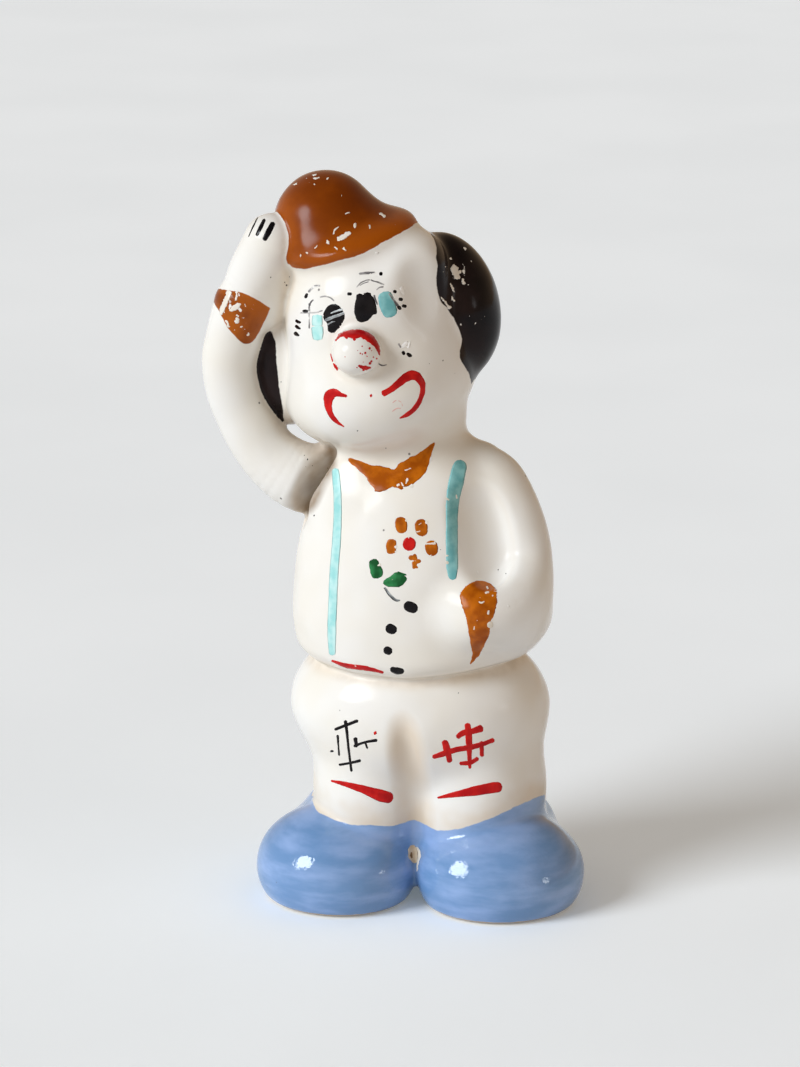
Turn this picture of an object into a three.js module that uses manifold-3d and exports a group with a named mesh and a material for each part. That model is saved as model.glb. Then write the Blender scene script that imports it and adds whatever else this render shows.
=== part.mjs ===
// A small glazed ceramic clown that stands with one hand raised to its hat and the other at its pocket.
// Millimetres, +Z up. The figure faces -Y, and its right side, with the raised arm, is at -X.
// Thin-walled castings and solid pressed pieces meet at their seams on layers of luting slip.
import * as THREE from 'three';
import { ParametricGeometry } from 'three/addons/geometries/ParametricGeometry.js';
import { mergeVertices } from 'three/addons/utils/BufferGeometryUtils.js';
import Module from 'manifold-3d';

const wasm = await Module();
wasm.setup();

// Walls and joints
const wall = 2.2; // wall of the hollow castings
const jointGap = 0.2; // air left on each face of a joint
const slipThickness = 0.4; // luting slip between two pieces
const slipSetback = 0.7; // edge of the slip behind the seam
const pegClearance = 0.3; // a spigot or peg inside its hole

// Shoes: a round toe and a round heel each, flat underneath
const shoeRightWidth = 18;
const shoeLeftWidth = 18.6;
const shoeParting = 0.3; // plane where the two shoes meet, from the body's axis
const shoeMeet = 0.2; // how far each shoe is pressed against that plane
const toeLength = 16.8;
const toeRise = 10.3; // top of the toe above the floor
const toeWidest = 3.5; // height of the toe's widest line
const toeAhead = 3.9;
const toeOut = 14; // degrees that each shoe turns out
const heelWidth = 14.8;
const heelLength = 14;
const heelRise = 11.6;
const heelWidest = 3.2;
const heelBehind = 4;
const heelInset = 1.3; // heels stand closer together than toes
const ankleHole = 6.4; // hole from a shoe into its trouser leg
const soleVent = 3.6; // hole that lets the hot air of the kiln out of a shoe

// Trousers: a round seat and two round legs
const trouserRise = 15.6; // top of the heel to the waist seam
const hipWidth = 27.6;
const hipDepth = 20.8;
const hipHeight = 17.2;
const hipBelowWaist = 5.6;
const legRightWidth = 14;
const legLeftWidth = 14.6;
const legMeet = 1.2; // how far each leg reaches past the parting
const legDepth = 18;
const legLength = 28; // a long oval that runs on into the shoe and up into the seat
const legMiddleOverHeel = 4.9;
const legEndUnderToe = 2.6; // lowest edge of the trousers below the top of the toe
const gussetWidth = 7; // fills the parting between the legs
const gussetDepth = 12;
const gussetLength = 20;
const waistLedge = 2.8; // ledge round the hole in the waist for the shirt's spigot
const waistSpigotLength = 3;

// Shirt: one turned barrel, flattened front to back
const shirtRise = 25; // waist seam to neck
const shirtDepth = 21.4;
const hemWidth = 25.2;
const hemRound = 1.6;
const bellyWidth = 26.8;
const bellyOverHem = 6;
const chestWidth = 22.6;
const chestUnderNeck = 7.7;
const shoulderWidth = 15.8;
const shoulderUnderNeck = 2.4;
const collarWidth = 11.4;
const collarOverNeck = 2.2;

// Head, in its own tilted frame: an oval that is widest at the cheeks, with a round muzzle
const headTilt = 16; // degrees towards the raised arm
const headLean = 4.7; // middle of the skull from the body's axis
const headSunk = 1.2; // chin below the neck line
const cheekWidth = 20.4;
const cheekDepth = 18.8;
const cheekDrop = 4.8; // widest line of the cheeks below the middle of the skull
const chinDrop = 11.6;
const templeWidth = 18.4;
const templeLift = 4.5;
const skullTop = 11.9;
const muzzleWidth = 15.4;
const muzzleDepth = 10;
const muzzleHeight = 12;
const muzzleSunk = 3.6; // middle of the muzzle behind the face
const muzzleDrop = 4.4;
const browWidth = 16.6; // swell of the forehead under the hat
const browDepth = 16.6;
const browHeight = 14.4;
const browAhead = 0.8;
const browLift = 4.6;
const hairlineWidth = 8; // corner of the forehead beside the brim
const hairlineDepth = 9.6;
const hairlineHeight = 6.4;
const hairlineOut = 6;
const hairlineAhead = 2.6;
const hairlineLift = 7;
const neckSpigotWidth = 6.8;
const neckSpigotLength = 5.5;
const neckBore = 3.2;
const neckLean = 1.4; // middle of the neck from the body's axis
const crownVent = 2.4; // hole in the skull under the hat

// Nose, hair and hat, in the head's frame
const noseWidth = 5.2;
const noseHeight = 4.9;
const noseProud = 1.2; // middle of the nose in front of the face
const noseLift = 0.6;
const noseShift = 0.5; // towards the raised arm
const hairLeftWidth = 11;
const hairRightWidth = 9;
const hairDepth = 10.8;
const hairLeftLength = 16;
const hairRightLength = 13.6;
const hairLeftIn = 2.1; // middle of the left tuft inside the side of the head
const hairRightOut = 0.3; // middle of the right tuft outside it
const hairBehind = 2;
const hairLift = 0.8; // the left tuft above the ears' level and the right one below
const hatSunk = 1; // brim below the top of the skull
const hatAhead = 0.6;
const brimWidth = 14.6;
const brimDepth = 16.6;
const brimThickness = 4.4;
const slopeWidth = 13.4; // swell between the brim and the crown
const slopeDepth = 14.6;
const slopeHeight = 7;
const crownWidth = 11;
const crownDepth = 12;
const crownHeight = 11;
const crownLift = 2;
const crownShift = 2.3; // towards the raised hand
const crownBehind = 0.8;

// Arms
const shoulderDrop = 5.6; // shoulders below the neck
const armholeDepth = 3.4; // start of an arm inside the chest
const upperArmWidth = 7.8;
const elbowWidth = 6.4;
const wristWidth = 5.9;

// Raised arm, bent at the elbow, with a mitten against the hat
const armpitOut = 3.6; // from the armhole
const raisedElbowOut = 8;
const raisedElbowLift = 2.4;
const raisedElbowAhead = 0.6;
const forearmBow = 1.7; // forearm outside the wrist
const forearmLength = 7.2;
const gloveWidth = 6.2;
const gloveTipWidth = 5.8;
const gloveWristWidth = 5.3;
const gloveLength = 7.4;
const gloveLean = 25; // degrees from upright
const gloveProud = 0.2; // fingers outside the crown of the hat
const gloveAhead = 2.4;
const gloveLift = 2.1;
const webWidth = 4.6; // clay left between the mitten and the face
const webLength = 9;
const webIn = 2.4; // middle of the web from the mitten's axis, towards the face
const webBehind = 0.7;
const webUp = 2.1; // above the wrist
const wristBehindFingers = 0.7;
const wristPeg = 2.6;
const wristPegLength = 2.4;

// Pocket arm, down the side of the shirt
const pocketShoulderInset = 0.6;
const pocketSleeveOut = 2.5; // from the armhole
const pocketSleeveAhead = 0.8;
const pocketSleeveDrop = 3.6;
const pocketOut = 7.8; // hand from the body's axis
const pocketOverWaist = 7.6;
const pocketProud = 0.9; // hand in front of the shirt
const pocketHandWidth = 5.4;
const pocketElbowOut = 3.3; // from the hand
const pocketElbowBehind = 3.7;
const pocketElbowLift = 1.4;

// Levels and places that the pieces share
const seat = slipThickness + 2 * jointGap; // from a piece to the one that is stuck on it
const waist = heelRise + trouserRise;
const shirtBottom = waist + seat;
const neck = waist + shirtRise;
const shoulderHeight = neck - shoulderDrop;
const armhole = chestWidth / 2 - armholeDepth;
const legMiddle = heelRise + legMiddleOverHeel;
const legEnd = toeRise - legEndUnderToe;
const waistDepth = hipDepth * Math.sqrt(1 - (2 * hipBelowWaist / hipHeight) ** 2);
const waistMouth = waistDepth - 2 * waistLedge;
const skullMiddle = neck + chinDrop - headSunk;
const cutter = 4 * skullMiddle; // side of a cutting block that is larger than the figure

// Facets round a form, and steps along one
const bigFacets = 22;
const smallFacets = 16;
const hollowFacets = 10;
const archSteps = 6;
const barrelSteps = 14;
const limbSteps = 16;
const capSteps = 3;
const weld = 1e-4;

const deg = THREE.MathUtils.degToRad;
const at = (x, y, z) => new THREE.Vector3(x, y, z);
const origin = new THREE.Matrix4();

// A frame at a point of another frame, tilted sideways and then turned about Z.
function frameAt(x, y, z, { turn = 0, tilt = 0, inside = origin } = {}) {
  const angles = new THREE.Euler(0, deg(tilt), deg(turn), 'ZYX');
  const own = new THREE.Matrix4().makeRotationFromEuler(angles).setPosition(x, y, z);
  return inside.clone().multiply(own);
}

// A closed geometry as a solid: shared corners merged, and faces that close to a line left out.
function solid(geometry) {
  geometry.deleteAttribute('normal');
  geometry.deleteAttribute('uv');
  const merged = mergeVertices(geometry, weld);
  const corners = merged.index.array;
  const faces = [];
  for (let i = 0; i < corners.length; i += 3) {
    const [a, b, c] = corners.slice(i, i + 3);
    if (a !== b && b !== c && c !== a) faces.push(a, b, c);
  }
  return new wasm.Manifold(new wasm.Mesh({
    numProp: 3,
    vertProperties: merged.attributes.position.array,
    triVerts: Uint32Array.from(faces),
  }));
}

// Every form below is a function of how far its surface is grown, so that a neighbour's cut,
// a wall and a layer of slip all follow the same sizes.
function egg(frame, width, depth, height, facets = bigFacets) {
  return (grow, around = facets) => solid(new THREE.SphereGeometry(1, around, Math.ceil(around / 2))
    .rotateX(Math.PI / 2)
    .scale(width / 2 + grow, depth / 2 + grow, height / 2 + grow)
    .applyMatrix4(frame));
}

function joined(...forms) {
  return (grow, around) => forms.map((form) => form(grow, around)).reduce((all, one) => all.add(one));
}

// A profile of radii and heights turned about Z.
function turned(profile, around) {
  return new THREE.LatheGeometry(profile, around).rotateX(Math.PI / 2);
}

// A round rod along a curve, with a width at each of its points and half-round ends.
function limb(points, widths, steps = limbSteps) {
  const path = new THREE.CatmullRomCurve3(points);
  const thickness = new THREE.SplineCurve(widths.map((width, i) => new THREE.Vector2(i, width)));
  const turns = path.computeFrenetFrames(steps);
  const count = steps + 2 * capSteps;
  function ring(index, grow) {
    const step = THREE.MathUtils.clamp(index - capSteps, 0, steps);
    const along = path.getUtoTmapping(step / steps);
    const radius = thickness.getPoint(along).y / 2 + grow;
    const past = (index - capSteps - step) / capSteps; // -1 to 0 in the first cap, 0 to 1 in the last
    const centre = path.getPoint(along);
    centre.addScaledVector(turns.tangents[step], radius * Math.sin(past * Math.PI / 2));
    return { step, centre, radius: radius * Math.cos(past * Math.PI / 2) };
  }
  return (grow) => solid(new ParametricGeometry((u, v, target) => {
    const { step, centre, radius } = ring(Math.round(u * count), grow);
    const angle = -2 * Math.PI * v;
    target.copy(centre);
    target.addScaledVector(turns.normals[step], radius * Math.cos(angle));
    target.addScaledVector(turns.binormals[step], radius * Math.sin(angle));
  }, count, smallFacets));
}

// A straight round rod along a frame's Z, from one height to another.
function rod(frame, width, from, to) {
  return solid(new THREE.CylinderGeometry(width / 2, width / 2, to - from, smallFacets)
    .rotateX(Math.PI / 2)
    .translate(0, 0, (from + to) / 2)
    .applyMatrix4(frame));
}

// Everything above a frame's own floor, or below it.
function halfSpace(frame, side) {
  return solid(new THREE.BoxGeometry(cutter, cutter, cutter)
    .translate(0, 0, side * cutter / 2)
    .applyMatrix4(frame));
}
const above = (frame) => halfSpace(frame, 1);
const below = (frame) => halfSpace(frame, -1);
const aboveLevel = (z) => above(frameAt(0, 0, z));
const belowLevel = (z) => below(frameAt(0, 0, z));

// The one body that a cut leaves, without the crumbs at its edges.
function largest(shape) {
  return shape.decompose().sort((one, other) => other.volume() - one.volume())[0];
}

// The layer of slip on a host's surface that lies under a guest.
function slipOn(host, guest) {
  return largest(host(jointGap + slipThickness).subtract(host(jointGap)).intersect(guest));
}

// Shoes
const toeMiddle = (side, width) => shoeParting + side * (width / 2 - shoeMeet);
const heelMiddle = (side, width) => toeMiddle(side, width) - side * heelInset;
function shoeForm(side, width) {
  const turn = side * toeOut;
  const toe = frameAt(toeMiddle(side, width), -toeAhead, toeWidest, { turn });
  const heel = frameAt(heelMiddle(side, width), heelBehind, heelWidest, { turn });
  return joined(
    egg(toe, width, toeLength, 2 * (toeRise - toeWidest)),
    egg(heel, heelWidth, heelLength, 2 * (heelRise - heelWidest)),
  );
}
const shoeRightForm = shoeForm(-1, shoeRightWidth);
const shoeLeftForm = shoeForm(1, shoeLeftWidth);
const shoeForms = joined(shoeRightForm, shoeLeftForm);

// The half of space on one side of the parting between the shoes, drawn back from it.
function besideParting(side, setback) {
  return above(frameAt(shoeParting + side * setback, 0, 0, { tilt: side * 90 }));
}

function shoe(side, form, width, legWidth) {
  const cavity = form(-wall, hollowFacets)
    .intersect(aboveLevel(wall))
    .intersect(besideParting(side, jointGap + wall));
  const ankle = rod(frameAt(legOut(side, legWidth), 0, 0), ankleHole, toeWidest, heelRise + wall);
  const vent = rod(frameAt(heelMiddle(side, width), heelBehind, 0), soleVent, -wall, heelWidest);
  return largest(form(0)
    .intersect(aboveLevel(0))
    .intersect(besideParting(side, jointGap / 2))
    .subtract(cavity)
    .subtract(ankle)
    .subtract(vent));
}

// Trousers
const legOut = (side, width) => shoeParting + side * (width / 2 - legMeet);
const legForm = (side, width) => egg(frameAt(legOut(side, width), 0, legMiddle), width, legDepth, legLength);
const hipForm = egg(frameAt(0, 0, waist - hipBelowWaist), hipWidth, hipDepth, hipHeight);
const gussetFrame = frameAt(shoeParting, 0, heelRise);
const gussetForm = egg(gussetFrame, gussetWidth, gussetDepth, gussetLength, smallFacets);
const trouserForm = joined(hipForm, legForm(-1, legRightWidth), legForm(1, legLeftWidth), gussetForm);

function trousers() {
  const cavity = trouserForm(-wall, hollowFacets).intersect(belowLevel(waist - wall));
  const mouth = rod(origin, waistMouth, waist - hipBelowWaist, waist + seat);
  return largest(trouserForm(0)
    .intersect(belowLevel(waist))
    .intersect(aboveLevel(legEnd))
    .subtract(shoeForms(seat))
    .subtract(cavity)
    .subtract(mouth));
}

function ankleSlip(side, form) {
  const legWall = trouserForm(-slipSetback)
    .subtract(trouserForm(slipSetback - wall, hollowFacets))
    .intersect(aboveLevel(legEnd + slipSetback))
    .intersect(besideParting(side, slipSetback));
  return slipOn(form, legWall);
}

// Head
const headFrame = frameAt(-headLean, 0, skullMiddle, { tilt: -headTilt });
const inHead = (x, y, z) => frameAt(x, y, z, { inside: headFrame });
function skullForm(grow, around = bigFacets) {
  const cheek = cheekWidth / 2 + grow;
  const temple = templeWidth / 2 + grow;
  const chin = new THREE.EllipseCurve(0, -cheekDrop, cheek, chinDrop - cheekDrop + grow, -Math.PI / 2, 0);
  const dome = new THREE.EllipseCurve(0, templeLift, temple, skullTop - templeLift + grow, 0, Math.PI / 2);
  const profile = [...chin.getPoints(archSteps), ...dome.getPoints(archSteps)];
  return solid(turned(profile, around).scale(1, cheekDepth / cheekWidth, 1).applyMatrix4(headFrame));
}
const muzzleFrame = inHead(0, muzzleSunk - cheekDepth / 2, -muzzleDrop);
const muzzleForm = egg(muzzleFrame, muzzleWidth, muzzleDepth, muzzleHeight, smallFacets);
const browForm = egg(inHead(0, -browAhead, browLift), browWidth, browDepth, browHeight, smallFacets);
const hairlineFrame = inHead(hairlineOut, -hairlineAhead, hairlineLift);
const hairlineForm = egg(hairlineFrame, hairlineWidth, hairlineDepth, hairlineHeight, smallFacets);
const headForm = joined(skullForm, muzzleForm, browForm, hairlineForm);
const neckFrame = frameAt(-neckLean, 0, neck);

function head() {
  const spigot = rod(neckFrame, neckSpigotWidth, -neckSpigotLength, wall);
  const bore = rod(neckFrame, neckBore, -neckSpigotLength - wall, skullMiddle - neck);
  const vent = rod(headFrame, crownVent, 0, skullTop + wall);
  return largest(headForm(0)
    .add(spigot)
    .subtract(skullForm(-wall, hollowFacets))
    .subtract(bore)
    .subtract(vent));
}

// Shirt
const shirtFlat = shirtDepth / bellyWidth;
function shirtForm(grow, around = bigFacets) {
  const side = new THREE.SplineCurve([
    new THREE.Vector2(hemWidth / 2, shirtBottom + hemRound),
    new THREE.Vector2(bellyWidth / 2, shirtBottom + bellyOverHem),
    new THREE.Vector2(chestWidth / 2, neck - chestUnderNeck),
    new THREE.Vector2(shoulderWidth / 2, neck - shoulderUnderNeck),
    new THREE.Vector2(collarWidth / 2, neck + collarOverNeck),
  ]).getPoints(barrelSteps);
  const profile = [
    new THREE.Vector2(0, shirtBottom - grow),
    new THREE.Vector2(hemWidth / 2 - hemRound + grow, shirtBottom - grow),
    ...side.map((point) => new THREE.Vector2(point.x + grow, point.y)),
    new THREE.Vector2(0, neck + collarOverNeck),
  ];
  return solid(turned(profile, around).scale(1, shirtFlat, 1));
}

function shirt() {
  const spigotWidth = waistMouth - 2 * pegClearance;
  const spigotEnd = waist - waistSpigotLength;
  const collarHole = neckSpigotWidth + 2 * pegClearance;
  return largest(shirtForm(0)
    .add(rod(origin, spigotWidth, spigotEnd, shirtBottom + wall))
    .subtract(headForm(seat))
    .subtract(shirtForm(-wall, hollowFacets).subtract(headForm(seat + wall, hollowFacets)))
    .subtract(rod(origin, spigotWidth - 2 * wall, spigotEnd - wall, shirtBottom + 2 * wall))
    .subtract(rod(neckFrame, collarHole, -neckSpigotLength - wall, skullMiddle - neck)));
}

function waistSlip() {
  return hipForm(-slipSetback)
    .intersect(aboveLevel(waist + jointGap))
    .intersect(belowLevel(waist + jointGap + slipThickness))
    .subtract(rod(origin, waistMouth + 2 * slipSetback, waist, shirtBottom));
}

function neckSlip() {
  const hole = rod(neckFrame, neckSpigotWidth + 2 * slipSetback, -neckSpigotLength, skullMiddle - neck);
  return slipOn(headForm, shirtForm(-slipSetback).subtract(hole));
}

// Nose and hair
const noseFrame = inHead(-noseShift, -cheekDepth / 2 - noseProud, noseLift);
const noseForm = egg(noseFrame, noseWidth, noseWidth, noseHeight, smallFacets);
function hairForm(out, lift, width, length) {
  return egg(inHead(out, hairBehind, lift), width, hairDepth, length, smallFacets);
}
const hairRightForm = hairForm(-cheekWidth / 2 - hairRightOut, -hairLift, hairRightWidth, hairRightLength);
const hairLeftForm = hairForm(cheekWidth / 2 - hairLeftIn, hairLift, hairLeftWidth, hairLeftLength);

const nose = () => largest(noseForm(0).subtract(headForm(seat)));
const hair = (form) => largest(form(0).subtract(headForm(seat)).subtract(hatForm(jointGap)));
const hairSlip = (form) => slipOn(headForm, form(-slipSetback).subtract(hatForm(jointGap + slipSetback)));

// Hat
const brimFrame = inHead(0, -hatAhead, skullTop - hatSunk);
const inBrim = (x, y, z) => frameAt(x, y, z, { inside: brimFrame });
const slopeFrame = inBrim(-crownShift / 2, crownBehind / 2, crownLift / 2);
const crownForm = egg(inBrim(-crownShift, crownBehind, crownLift), crownWidth, crownDepth, crownHeight);
const hatForm = joined(
  crownForm,
  egg(slopeFrame, slopeWidth, slopeDepth, slopeHeight),
  egg(brimFrame, brimWidth, brimDepth, brimThickness),
);

const hat = () => largest(hatForm(0).subtract(headForm(seat)).subtract(crownForm(-wall, hollowFacets)));
function hatSlip() {
  return slipOn(headForm, hatForm(-slipSetback).subtract(crownForm(slipSetback - wall, hollowFacets)));
}

// Raised arm
const fingers = at(-crownShift - crownWidth / 2 - gloveProud, -gloveAhead, gloveLift).applyMatrix4(brimFrame);
const wrist = at(
  fingers.x - gloveLength * Math.sin(deg(gloveLean)),
  fingers.y + wristBehindFingers,
  fingers.z - gloveLength * Math.cos(deg(gloveLean)),
);
const wristFrame = frameAt(wrist.x, wrist.y, wrist.z, { tilt: gloveLean });
const onWrist = (z) => frameAt(0, 0, z, { inside: wristFrame });
const inGlove = (z) => at(0, 0, z).applyMatrix4(wristFrame);
const sleeveForm = limb(
  [
    at(-armhole, 0, shoulderHeight),
    at(-armhole - armpitOut, 0, shoulderHeight),
    at(-armhole - raisedElbowOut, -raisedElbowAhead, shoulderHeight + raisedElbowLift),
    at(wrist.x - forearmBow, wrist.y + wristBehindFingers, wrist.z - forearmLength),
    wrist,
  ],
  [upperArmWidth, (upperArmWidth + elbowWidth) / 2, elbowWidth, wristWidth, wristWidth],
);
const mittenForm = limb(
  [inGlove(-seat), inGlove(gloveLength / 2), fingers],
  [gloveWristWidth, gloveWidth, gloveTipWidth],
  limbSteps / 2,
);
const webFrame = frameAt(webIn, webBehind, webUp, { inside: wristFrame });
const gloveForm = joined(mittenForm, egg(webFrame, webWidth, webWidth, webLength, smallFacets));

function sleeve() {
  const socket = rod(wristFrame, wristPeg + 2 * pegClearance, -wristPegLength - pegClearance, wristWidth);
  return largest(sleeveForm(0)
    .intersect(below(wristFrame))
    .subtract(shirtForm(seat))
    .subtract(headForm(jointGap))
    .subtract(hairRightForm(jointGap))
    .subtract(hatForm(jointGap))
    .subtract(socket));
}

function glove() {
  return largest(gloveForm(0)
    .intersect(above(onWrist(seat)))
    .subtract(hatForm(seat))
    .subtract(headForm(jointGap))
    .subtract(hairRightForm(jointGap))
    .add(rod(wristFrame, wristPeg, -wristPegLength, seat + wristPeg)));
}

function wristSlip() {
  return largest(mittenForm(-slipSetback)
    .intersect(above(onWrist(jointGap)))
    .intersect(below(onWrist(jointGap + slipThickness)))
    .subtract(rod(wristFrame, wristPeg + 2 * pegClearance, 0, seat)));
}

// Pocket arm
const shirtFront = -shirtFlat * Math.sqrt((bellyWidth / 2) ** 2 - pocketOut ** 2);
const pocketHand = at(pocketOut, shirtFront - pocketProud, waist + pocketOverWaist);
const pocketArmForm = limb(
  [
    at(armhole - pocketShoulderInset, 0, shoulderHeight),
    at(armhole + pocketSleeveOut, -pocketSleeveAhead, shoulderHeight - pocketSleeveDrop),
    pocketHand.clone().add(at(pocketElbowOut, pocketElbowBehind, pocketElbowLift)),
    pocketHand,
  ],
  [upperArmWidth, (upperArmWidth + elbowWidth) / 2, elbowWidth, pocketHandWidth],
);

function pocketArm() {
  return largest(pocketArmForm(0)
    .subtract(shirtForm(seat))
    .subtract(hipForm(jointGap))
    .subtract(headForm(jointGap)));
}

// Each solid as a named mesh with its own finish
const figure = new THREE.Group();
function addPiece(name, shape, color, roughness) {
  const { vertProperties, triVerts } = shape.getMesh();
  const geometry = new THREE.BufferGeometry();
  geometry.setAttribute('position', new THREE.BufferAttribute(vertProperties, 3));
  geometry.setIndex(new THREE.BufferAttribute(triVerts, 1));
  geometry.computeVertexNormals();
  const mesh = new THREE.Mesh(geometry, new THREE.MeshStandardMaterial({ color, roughness, metalness: 0 }));
  mesh.name = name;
  figure.add(mesh);
}

const cream = '#efe9dc';
const brown = '#8c4a12';
const black = '#16130f';
const blue = '#6f8fc4';
const bareClay = '#d8c7a6';
const glazed = 0.16;
const enamelled = 0.3;
const unglazed = 0.85;

addPiece('shoe_right', shoe(-1, shoeRightForm, shoeRightWidth, legRightWidth), blue, glazed);
addPiece('shoe_left', shoe(1, shoeLeftForm, shoeLeftWidth, legLeftWidth), blue, glazed);
addPiece('ankle_slip_right', ankleSlip(-1, shoeRightForm), bareClay, unglazed);
addPiece('ankle_slip_left', ankleSlip(1, shoeLeftForm), bareClay, unglazed);
addPiece('trousers', trousers(), cream, glazed);
addPiece('waist_slip', waistSlip(), bareClay, unglazed);
addPiece('shirt', shirt(), cream, glazed);
addPiece('neck_slip', neckSlip(), bareClay, unglazed);
addPiece('head', head(), cream, glazed);
addPiece('nose_slip', slipOn(headForm, noseForm(-slipSetback)), bareClay, unglazed);
addPiece('nose', nose(), cream, glazed);
addPiece('hair_slip_right', hairSlip(hairRightForm), bareClay, unglazed);
addPiece('hair_right', hair(hairRightForm), black, enamelled);
addPiece('hair_slip_left', hairSlip(hairLeftForm), bareClay, unglazed);
addPiece('hair_left', hair(hairLeftForm), black, enamelled);
addPiece('hat_slip', hatSlip(), bareClay, unglazed);
addPiece('hat', hat(), brown, enamelled);
addPiece('shoulder_slip', slipOn(shirtForm, sleeveForm(-slipSetback)), bareClay, unglazed);
addPiece('raised_sleeve', sleeve(), cream, glazed);
addPiece('wrist_slip', wristSlip(), bareClay, unglazed);
addPiece('raised_glove', glove(), cream, glazed);
addPiece('glove_slip', slipOn(hatForm, gloveForm(-slipSetback)), bareClay, unglazed);
addPiece('pocket_arm_slip', slipOn(shirtForm, pocketArmForm(-slipSetback)), bareClay, unglazed);
addPiece('pocket_arm', pocketArm(), cream, glazed);

// The part's origin is on the floor, under the middle of the figure's box
const box = new THREE.Box3().setFromObject(figure);
const middle = box.getCenter(at(0, 0, 0));
figure.position.set(-middle.x, -middle.y, -box.min.z);

const part = new THREE.Group();
part.add(figure);

export default part;
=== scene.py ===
from math import cos, radians, sin

import bpy
import numpy as np
import openvdb
from mathutils import Matrix, Vector


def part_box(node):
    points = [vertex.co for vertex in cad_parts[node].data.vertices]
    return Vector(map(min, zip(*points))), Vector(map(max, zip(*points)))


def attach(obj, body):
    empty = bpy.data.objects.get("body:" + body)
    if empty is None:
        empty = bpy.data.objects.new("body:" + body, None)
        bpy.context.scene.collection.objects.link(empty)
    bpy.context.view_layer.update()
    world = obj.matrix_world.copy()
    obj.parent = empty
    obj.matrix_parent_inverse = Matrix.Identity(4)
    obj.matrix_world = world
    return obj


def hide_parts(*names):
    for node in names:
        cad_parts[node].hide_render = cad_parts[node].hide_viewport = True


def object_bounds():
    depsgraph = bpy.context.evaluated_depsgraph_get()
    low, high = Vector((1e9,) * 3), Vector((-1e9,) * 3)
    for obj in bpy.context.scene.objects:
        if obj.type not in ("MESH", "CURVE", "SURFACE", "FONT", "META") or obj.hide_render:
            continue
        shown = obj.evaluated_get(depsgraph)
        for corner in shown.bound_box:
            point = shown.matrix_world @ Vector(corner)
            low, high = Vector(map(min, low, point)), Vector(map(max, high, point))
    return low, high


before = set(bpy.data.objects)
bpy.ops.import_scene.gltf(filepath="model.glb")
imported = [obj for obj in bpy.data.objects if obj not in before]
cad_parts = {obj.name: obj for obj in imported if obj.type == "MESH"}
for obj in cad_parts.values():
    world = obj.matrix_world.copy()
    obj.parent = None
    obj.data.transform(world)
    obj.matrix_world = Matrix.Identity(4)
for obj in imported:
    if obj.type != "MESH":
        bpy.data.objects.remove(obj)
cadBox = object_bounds()
mm = 0.001
scene = bpy.context.scene


# where the CAD stands: forms are measured in millimetres from the body's upright axis and the floor

def nodeBox(node):
    return [np.array(corner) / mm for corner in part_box(node)]


shirtLow, shirtHigh = nodeBox("shirt")
bodyAxis = np.array([*(shirtLow + shirtHigh)[:2] / 2, 0.0])
heelTop = nodeBox("shoe_right")[1][2]
waist = nodeBox("trousers")[1][2]
collar = shirtHigh[2]
print(f"frame: heels {heelTop:.1f}, waist {waist:.1f}, collar {collar:.1f} mm")


# camera, and the painter's canvas: a plane across the camera's aim, in the photo's pixels

shot = dict(azimuth=7, elevation=16, distance=400.0, aim=(-2.1, -0.26, 40.6), lens=124.6,
            sensor=36.0, clip=(0.01, 20), photoWidth=800, photoHeight=1067)
azimuth, elevation = radians(shot["azimuth"]), radians(shot["elevation"])
towardsEye = np.array([sin(azimuth) * cos(elevation), -cos(azimuth) * cos(elevation), sin(elevation)])
canvasRight = np.array([cos(azimuth), sin(azimuth), 0.0])
canvasUp = np.cross(towardsEye, canvasRight)
canvasMiddle = np.array(shot["aim"])
eye = canvasMiddle + towardsEye * shot["distance"]
pixel = shot["distance"] * shot["sensor"] / shot["lens"] / shot["photoHeight"]  # mm on the canvas


def onCanvas(x, y):
    across, up = (x - shot["photoWidth"] / 2) * pixel, (shot["photoHeight"] / 2 - y) * pixel
    return canvasMiddle + canvasRight * across + canvasUp * up


def addCamera():
    data = bpy.data.cameras.new("camera")
    data.lens, data.sensor_width = shot["lens"], shot["sensor"]
    data.clip_start, data.clip_end = shot["clip"]
    camera = bpy.data.objects.new("camera", data)
    camera.location = Vector((eye + bodyAxis) * mm)
    camera.rotation_euler = Vector(-towardsEye).to_track_quat("-Z", "Y").to_euler()
    scene.collection.objects.link(camera)
    scene.camera = camera


addCamera()
print("camera: set")


# forms as distance fields

tiny = 1e-9  # keeps the middle of a form from dividing by nothing


def leaning(lean=0, turn=0, nod=0):
    turns = ((turn, "Z"), (lean, "Y"), (nod, "X"))
    matrix = Matrix.Identity(3)
    for angle, axis in turns:
        matrix = matrix @ Matrix.Rotation(radians(angle), 3, axis)
    return np.array(matrix)


def egg(points, at, size, **turns):
    half = np.array(size) / 2
    scaled = (points - at) @ leaning(**turns) / half
    reach = np.linalg.norm(scaled, axis=-1) + tiny
    slope = np.linalg.norm(scaled / half, axis=-1) + tiny
    return reach * (reach - 1) / slope


def melt(one, other, blend):  # joined, with a fillet
    share = np.clip(0.5 + 0.5 * (other - one) / blend, 0, 1)
    return other + (one - other) * share - blend * share * (1 - share)


def trim(one, other, blend):  # cut back, with a rounded edge
    return -melt(-one, -other, blend)


def smoothPath(knots, steps=5):
    knots = np.array(knots, float)
    knots = np.vstack([2 * knots[0] - knots[1], knots, 2 * knots[-1] - knots[-2]])
    path = []
    for a, b, c, d in zip(knots, knots[1:], knots[2:], knots[3:]):
        for t in np.arange(steps) / steps:
            path.append(b + (c - a) * t / 2 + (2 * a - 5 * b + 4 * c - d) * t ** 2 / 2
                        + (3 * b - a - 3 * c + d) * t ** 3 / 2)
    return np.array([*path, knots[-2]])


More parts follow.
